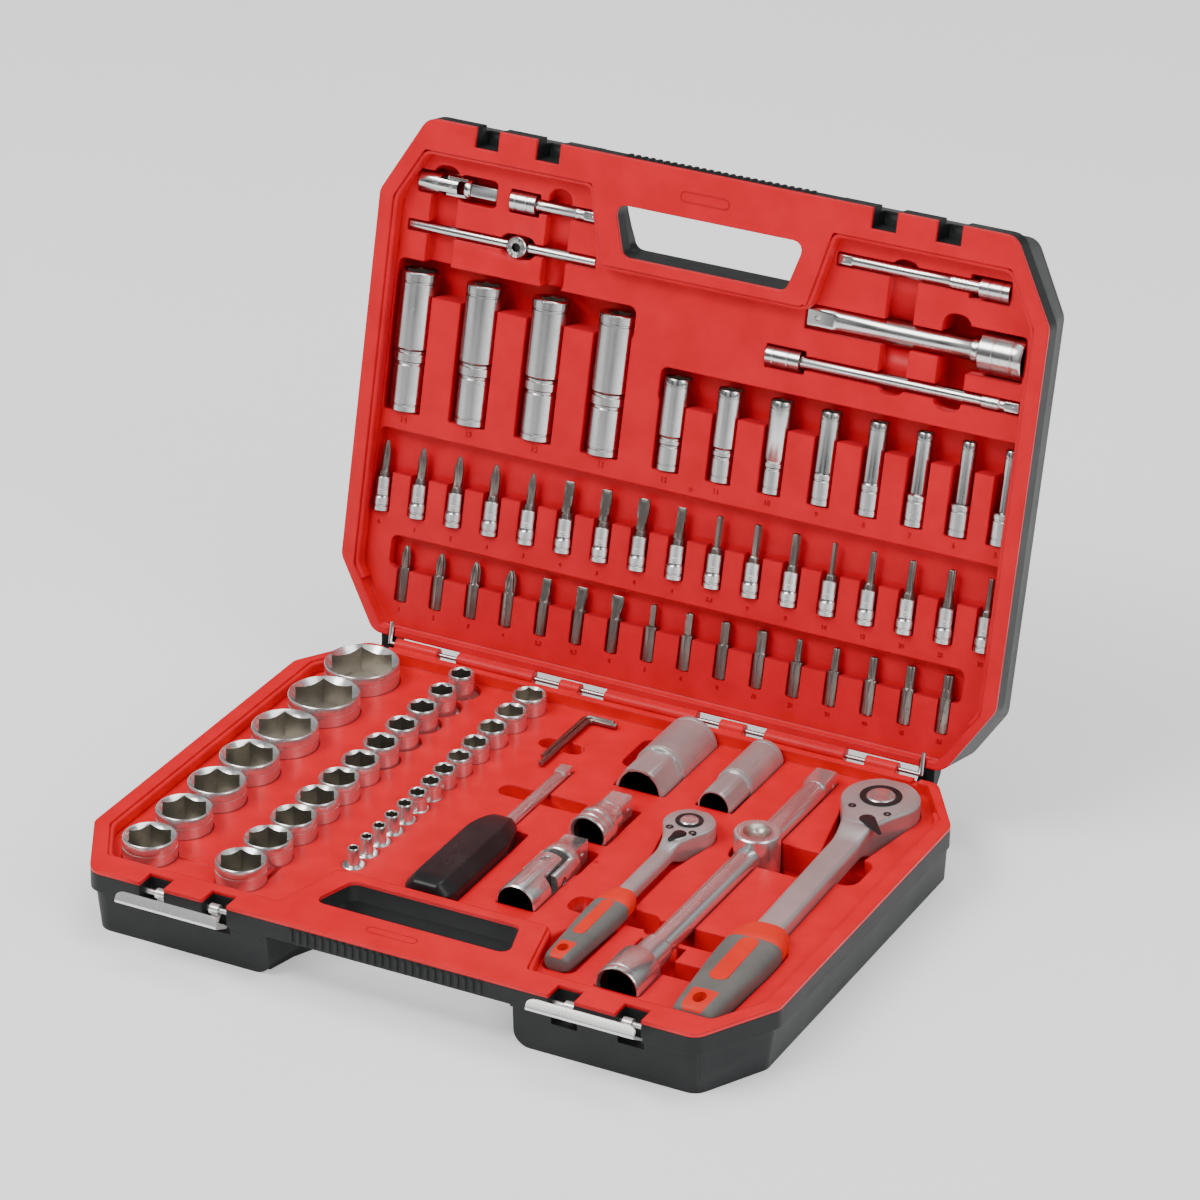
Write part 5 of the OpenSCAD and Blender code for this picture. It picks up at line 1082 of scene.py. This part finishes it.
for node, setup in standingSockets.items():
    makeStandingSockets(node, setup)
for node, setup in deepSockets.items():
    makeDeepSockets(node, setup)
makeDriverHandle()
for size, setup in ratchets.items():
    makeRatchetBody(size, setup)
    makeRatchetPlate(size, setup)
    makeRatchetLever(size, setup)
    makeRatchetGrip(size, setup)
for node, setup in extensionSetup.items():
    makeExtension(node, setup)
for node, setup in shortExtensions.items():
    makeShortExtension(node, setup)
for node in latchSetup["open"]:
    makeLatch(node)
for node, setup in plugSetup.items():
    makePlugSocket(node, setup)
for node, (kind, first, last) in bitRows.items():
    makeBits(node, kind, first, last)
makeBitTips()
makeBitSockets()
print("tools and latches made")

# every other node is shown as a cleaned copy, its edges softened by these widths, in metres, or the usual one
edgeSetup = {
    "usual": 0.0004,
    "base_tray": 0.0, "lid_tray": 0.0, "base_shell": 0.0, "lid_shell": 0.0,
    "hinge_wire": 0.0, "latch_pins": 0.0, "t_bar_head": 0.0, "hex_keys": 0.0003,
    "ratchet_half_drive": 0.0002, "ratchet_quarter_drive": 0.0002,
    "ratchet_half_screws": 0.0001, "ratchet_quarter_screws": 0.0001,
}
# large flat faces, joined up before shading
flatNodes = ("base_tray", "lid_tray", "base_shell", "lid_shell")
madeNodes = (*standingSockets, *deepSockets, *extensionSetup, *shortExtensions, *latchSetup["open"],
             *plugSetup, *bitRows, "driver_handle", "bit_sockets", "bit_socket_tips",
             *("ratchet_%s_%s" % (size, part) for size in ratchets
               for part in ("body", "cover", "lever", "grip", "grip_insert")))
# the ratchets' screws shown in black plastic: painted shade of their dark recesses
paintedShadeLooks = {"ratchet_half_screws": "black_plastic", "ratchet_quarter_screws": "black_plastic"}
# mouths and dishes turned into the ends of tools; their cut faces take a bore look darkened with painted
# shade
widened = {
    "joint_half_socket_end": (inBase(30.4, 209, -6) @ towardsHinge,
                              ((9.9, -1), (9.9, 0.6), (9.2, 2.6), (9.2, 14.6)), "black_bore"),
    "sliding_head": (inBase(111.5, 101, 4.6), ((3.6, -3.0), (4.6, -1.6), (7.6, 0), (7.6, 1)), "bore_steel"),
    "t_bar_head": (inLid(-112, 226.7, 6.5) @ upsideDown, ((2.3, -2.0), (2.5, 0), (2.5, 1)), "black_bore"),
}


# roundings of a shell's lowest edges, in metres and segments: along the sides of the bay at the front, which
# lies within its half width and beyond its rear line, and round the whole foot
footSetup = {"bayHalf": 80, "bayRear": 235, "bay": (0.009, 10), "foot": (0.003, 4)}


def easeFoot(work, node):
    if node == "base_shell":
        back, foot = inBase(0, 0, 0).inverted(), -caseSetup["half"]
    else:
        back, foot = inLid(0, 0, 0).inverted(), caseSetup["half"]
    for baySide, (radius, segments) in ((True, footSetup["bay"]), (False, footSetup["foot"])):
        low = {vert for vert in work.verts if abs((back @ vert.co).z * 1000 - foot) < 0.05}
        edges = []
        for edge in work.edges:
            if edge.verts[0] not in low or edge.verts[1] not in low or len(edge.link_faces) != 2:
                continue
            levels = [abs((back.to_3x3() @ face.normal).z) > 0.98 for face in edge.link_faces]
            ends = [(back @ vert.co) * 1000 for vert in edge.verts]
            inBay = all(abs(end.x) < footSetup["bayHalf"] and end.y < -footSetup["bayRear"] for end in ends)
            alongBay = inBay and abs(ends[0].y - ends[1].y) > 20
            if levels[0] != levels[1] and (alongBay or not baySide):
                edges.append(edge)
        bmesh.ops.bevel(work, geom=edges, offset=radius, offset_type="OFFSET", segments=segments,
                        profile=0.5, affect="EDGES", clamp_overlap=not baySide)


def showNode(node):
    edge = edgeSetup.get(node, edgeSetup["usual"])
    work = bmesh.new()
    work.from_mesh(frame["nodes"][node].data)
    bmesh.ops.remove_doubles(work, verts=work.verts, dist=1e-6)
    if node in flatNodes:
        bmesh.ops.dissolve_limit(work, angle_limit=math.radians(0.5), verts=work.verts, edges=work.edges)
    if node.endswith("_shell"):
        easeFoot(work, node)
    piece = finishPiece(work, node, paintedShadeLooks.get(node))
    if node in widened:
        place, rings, look = widened[node]
        cutBy(piece, tubeMesh(rings, place, look))
        smoothFaces(piece.data, 32)
    if edge:
        addSoftEdge(piece, edge)
    else:
        piece.modifiers.new("flatFaces", "WEIGHTED_NORMAL").keep_sharp = True


otherNodes = [node for node in frame["nodes"] if node not in madeNodes]
for node in otherNodes:
    showNode(node)
print("nodes shown:", len(otherNodes))

# the rounded ledge inside the rim of each tray, open at the hinge side and led round the latch bay
ledgeSetup = {"front": 270, "side": 184.5, "rear": 38.2, "round": 7, "bayHalf": 56.5, "bayRear": 233,
              "baySlope": 0.24, "gap": 3.6, "step": 228.6,
              "profile": ((-0.05, 1.1), (1.3, 1.1), (1.8, 1.3), (2.15, 1.9), (2.3, 3.0), (2.3, 6.8),
                          (-0.05, 6.8)),
              "deeper": {"lidLedge": 1.6}}


def ledgePath():
    setup = ledgeSetup
    front, side, rear, step = setup["front"], setup["side"], setup["rear"], setup["step"]
    beside = lambda v: setup["bayHalf"] + (v - setup["bayRear"]) * setup["baySlope"] + setup["gap"]
    right = [(side - 5, rear - 7.5), (side, rear), (side, front - 28), (side - 16, front),
             (beside(front), front), (beside(step), step)]
    return right + [(-u, v) for u, v in right[::-1]]


def makeLedge(name, node, place, down):
    deeper = ledgeSetup["deeper"].get(name, 0)
    corners = [Vector(corner) for corner in ledgePath()]
    path = [corners[0]]
    for before, corner, after in zip(corners, corners[1:], corners[2:]):
        first, last = before - corner, after - corner
        reach = min(ledgeSetup["round"] * 0.7, first.length * 0.4, last.length * 0.4)
        start, end = corner + first.normalized() * reach, corner + last.normalized() * reach
        path += easedCorner(start, corner, end, 5)
    path.append(corners[-1])
    middle = Vector((0, 130))  # of the tray
    work = bmesh.new()
    loops = []
    for index, point in enumerate(path):
        before, after = path[max(0, index - 1)], path[min(len(path) - 1, index + 1)]
        run = (after - before).normalized()
        inward = Vector((-run.y, run.x))
        stretch = 1.0
        if 0 < index < len(path) - 1:
            stretch = 1 / max(0.6, math.cos((point - before).angle(after - point) / 2))
        if inward.dot(middle - point) < 0 and abs(point.x) > 100:
            inward = -inward
        loops.append([place @ at(point.x + inward.x * x * stretch, -(point.y + inward.y * x * stretch),
                                 down * (z + (deeper if z > 6 else 0))) for x, z in ledgeSetup["profile"]])
    loftLoops(work, loops)
    finishPiece(work, node, sharp=40, extra=name)


makeLedge("baseLedge", "base_tray", inBase(0, 0, 0), -1)
makeLedge("lidLedge", "lid_tray", inLid(0, 0, 0), 1)

# raised size numbers on the lid's label strips: height, row and places
numberRows = (
    {"tall": 4.4, "v": 119.5, "sizes": "14 13 12 11", "places": tuple(-168.2 + i * 39.7 for i in range(4))},
    {"tall": 4.0, "v": 119.5, "sizes": "12 11 10 9 8 7 6 5",
     "places": deepSockets["deep_sockets_quarter"]["places"]},
    {"tall": 3.3, "v": 61.4, "sizes": "0 1 2 3 3 4 5 6 4 5.5 7 8 10 15 20 25 30", "places": tipPlaces},
    {"tall": 3.3, "v": 15.8, "sizes": "1 2 3 4 5.5 6.5 8 5 6 8 10 25 30 40 45 50", "places": bitPlaces},
)
# a small moulding spot in each tray, and an oval on each rim by its half length and the radius of its ends
spotRings = ((1.5, -0.1), (1.5, 0.15), (1.2, 0.35), (0.7, 0.35), (0.5, 0.1))
ovals = {"base": (inBase(-4, 273, 0), 14, 2.6), "lid": (inLid(-4, 273, 0) @ upsideDown, 14, 2.6)}


def addNumber(work, text, tall, place):
    letters = bpy.data.curves.new("number", "FONT")
    letters.body = text
    letters.size = tall / 1000
    letters.align_x = "CENTER"
    letters.extrude = 0.00016
    letters.bevel_depth = 0.00006
    letters.resolution_u = 3
    holder = bpy.data.objects.new("number", letters)
    bpy.context.collection.objects.link(holder)
    bpy.context.view_layer.update()
    mesh = bpy.data.meshes.new_from_object(holder.evaluated_get(bpy.context.evaluated_depsgraph_get()))
    mesh.transform(place)
    work.from_mesh(mesh)
    bpy.data.objects.remove(holder)
    bpy.data.meshes.remove(mesh)


# a raised line round a small oval field on the rim
def addOval(work, place, half, end):
    loops = []
    for out, z in ((-0.45, -0.05), (-0.35, 0.14), (-0.15, 0.2), (0.15, 0.2), (0.35, 0.14), (0.45, -0.05)):
        outline = arc(half - end, 0, end + out, -90, 180, 10) + arc(end - half, 0, end + out, 90, 180, 10)
        loops.append([work.verts.new(place @ at(x, y, z)) for x, y in outline])
    for low, high in zip(loops, loops[1:] + loops[:1]):
        for step in range(len(low)):
            after = (step + 1) % len(low)
            work.faces.new((low[step], low[after], high[after], high[step]))


def makeTrayMarks():
    work = bmesh.new()
    for row in numberRows:
        for text, u in zip(row["sizes"].split(), row["places"]):
            addNumber(work, text, row["tall"], inLid(u, row["v"], 8.44) @ upsideDown)
    addOval(work, *ovals["lid"])
    ringSkin(work, spotRings, inLid(4, 119, 8.5) @ upsideDown, 20, closed=False)
    finishPiece(work, "lid_tray", sharp=40, extra="lidTrayMarks")
    work = bmesh.new()
    addOval(work, *ovals["base"])
    ringSkin(work, spotRings, inBase(45, 150, -7), 20, closed=False)
    finishPiece(work, "base_tray", sharp=40, extra="baseTrayMarks")


makeTrayMarks()
print("ledges, numbers and marks made")
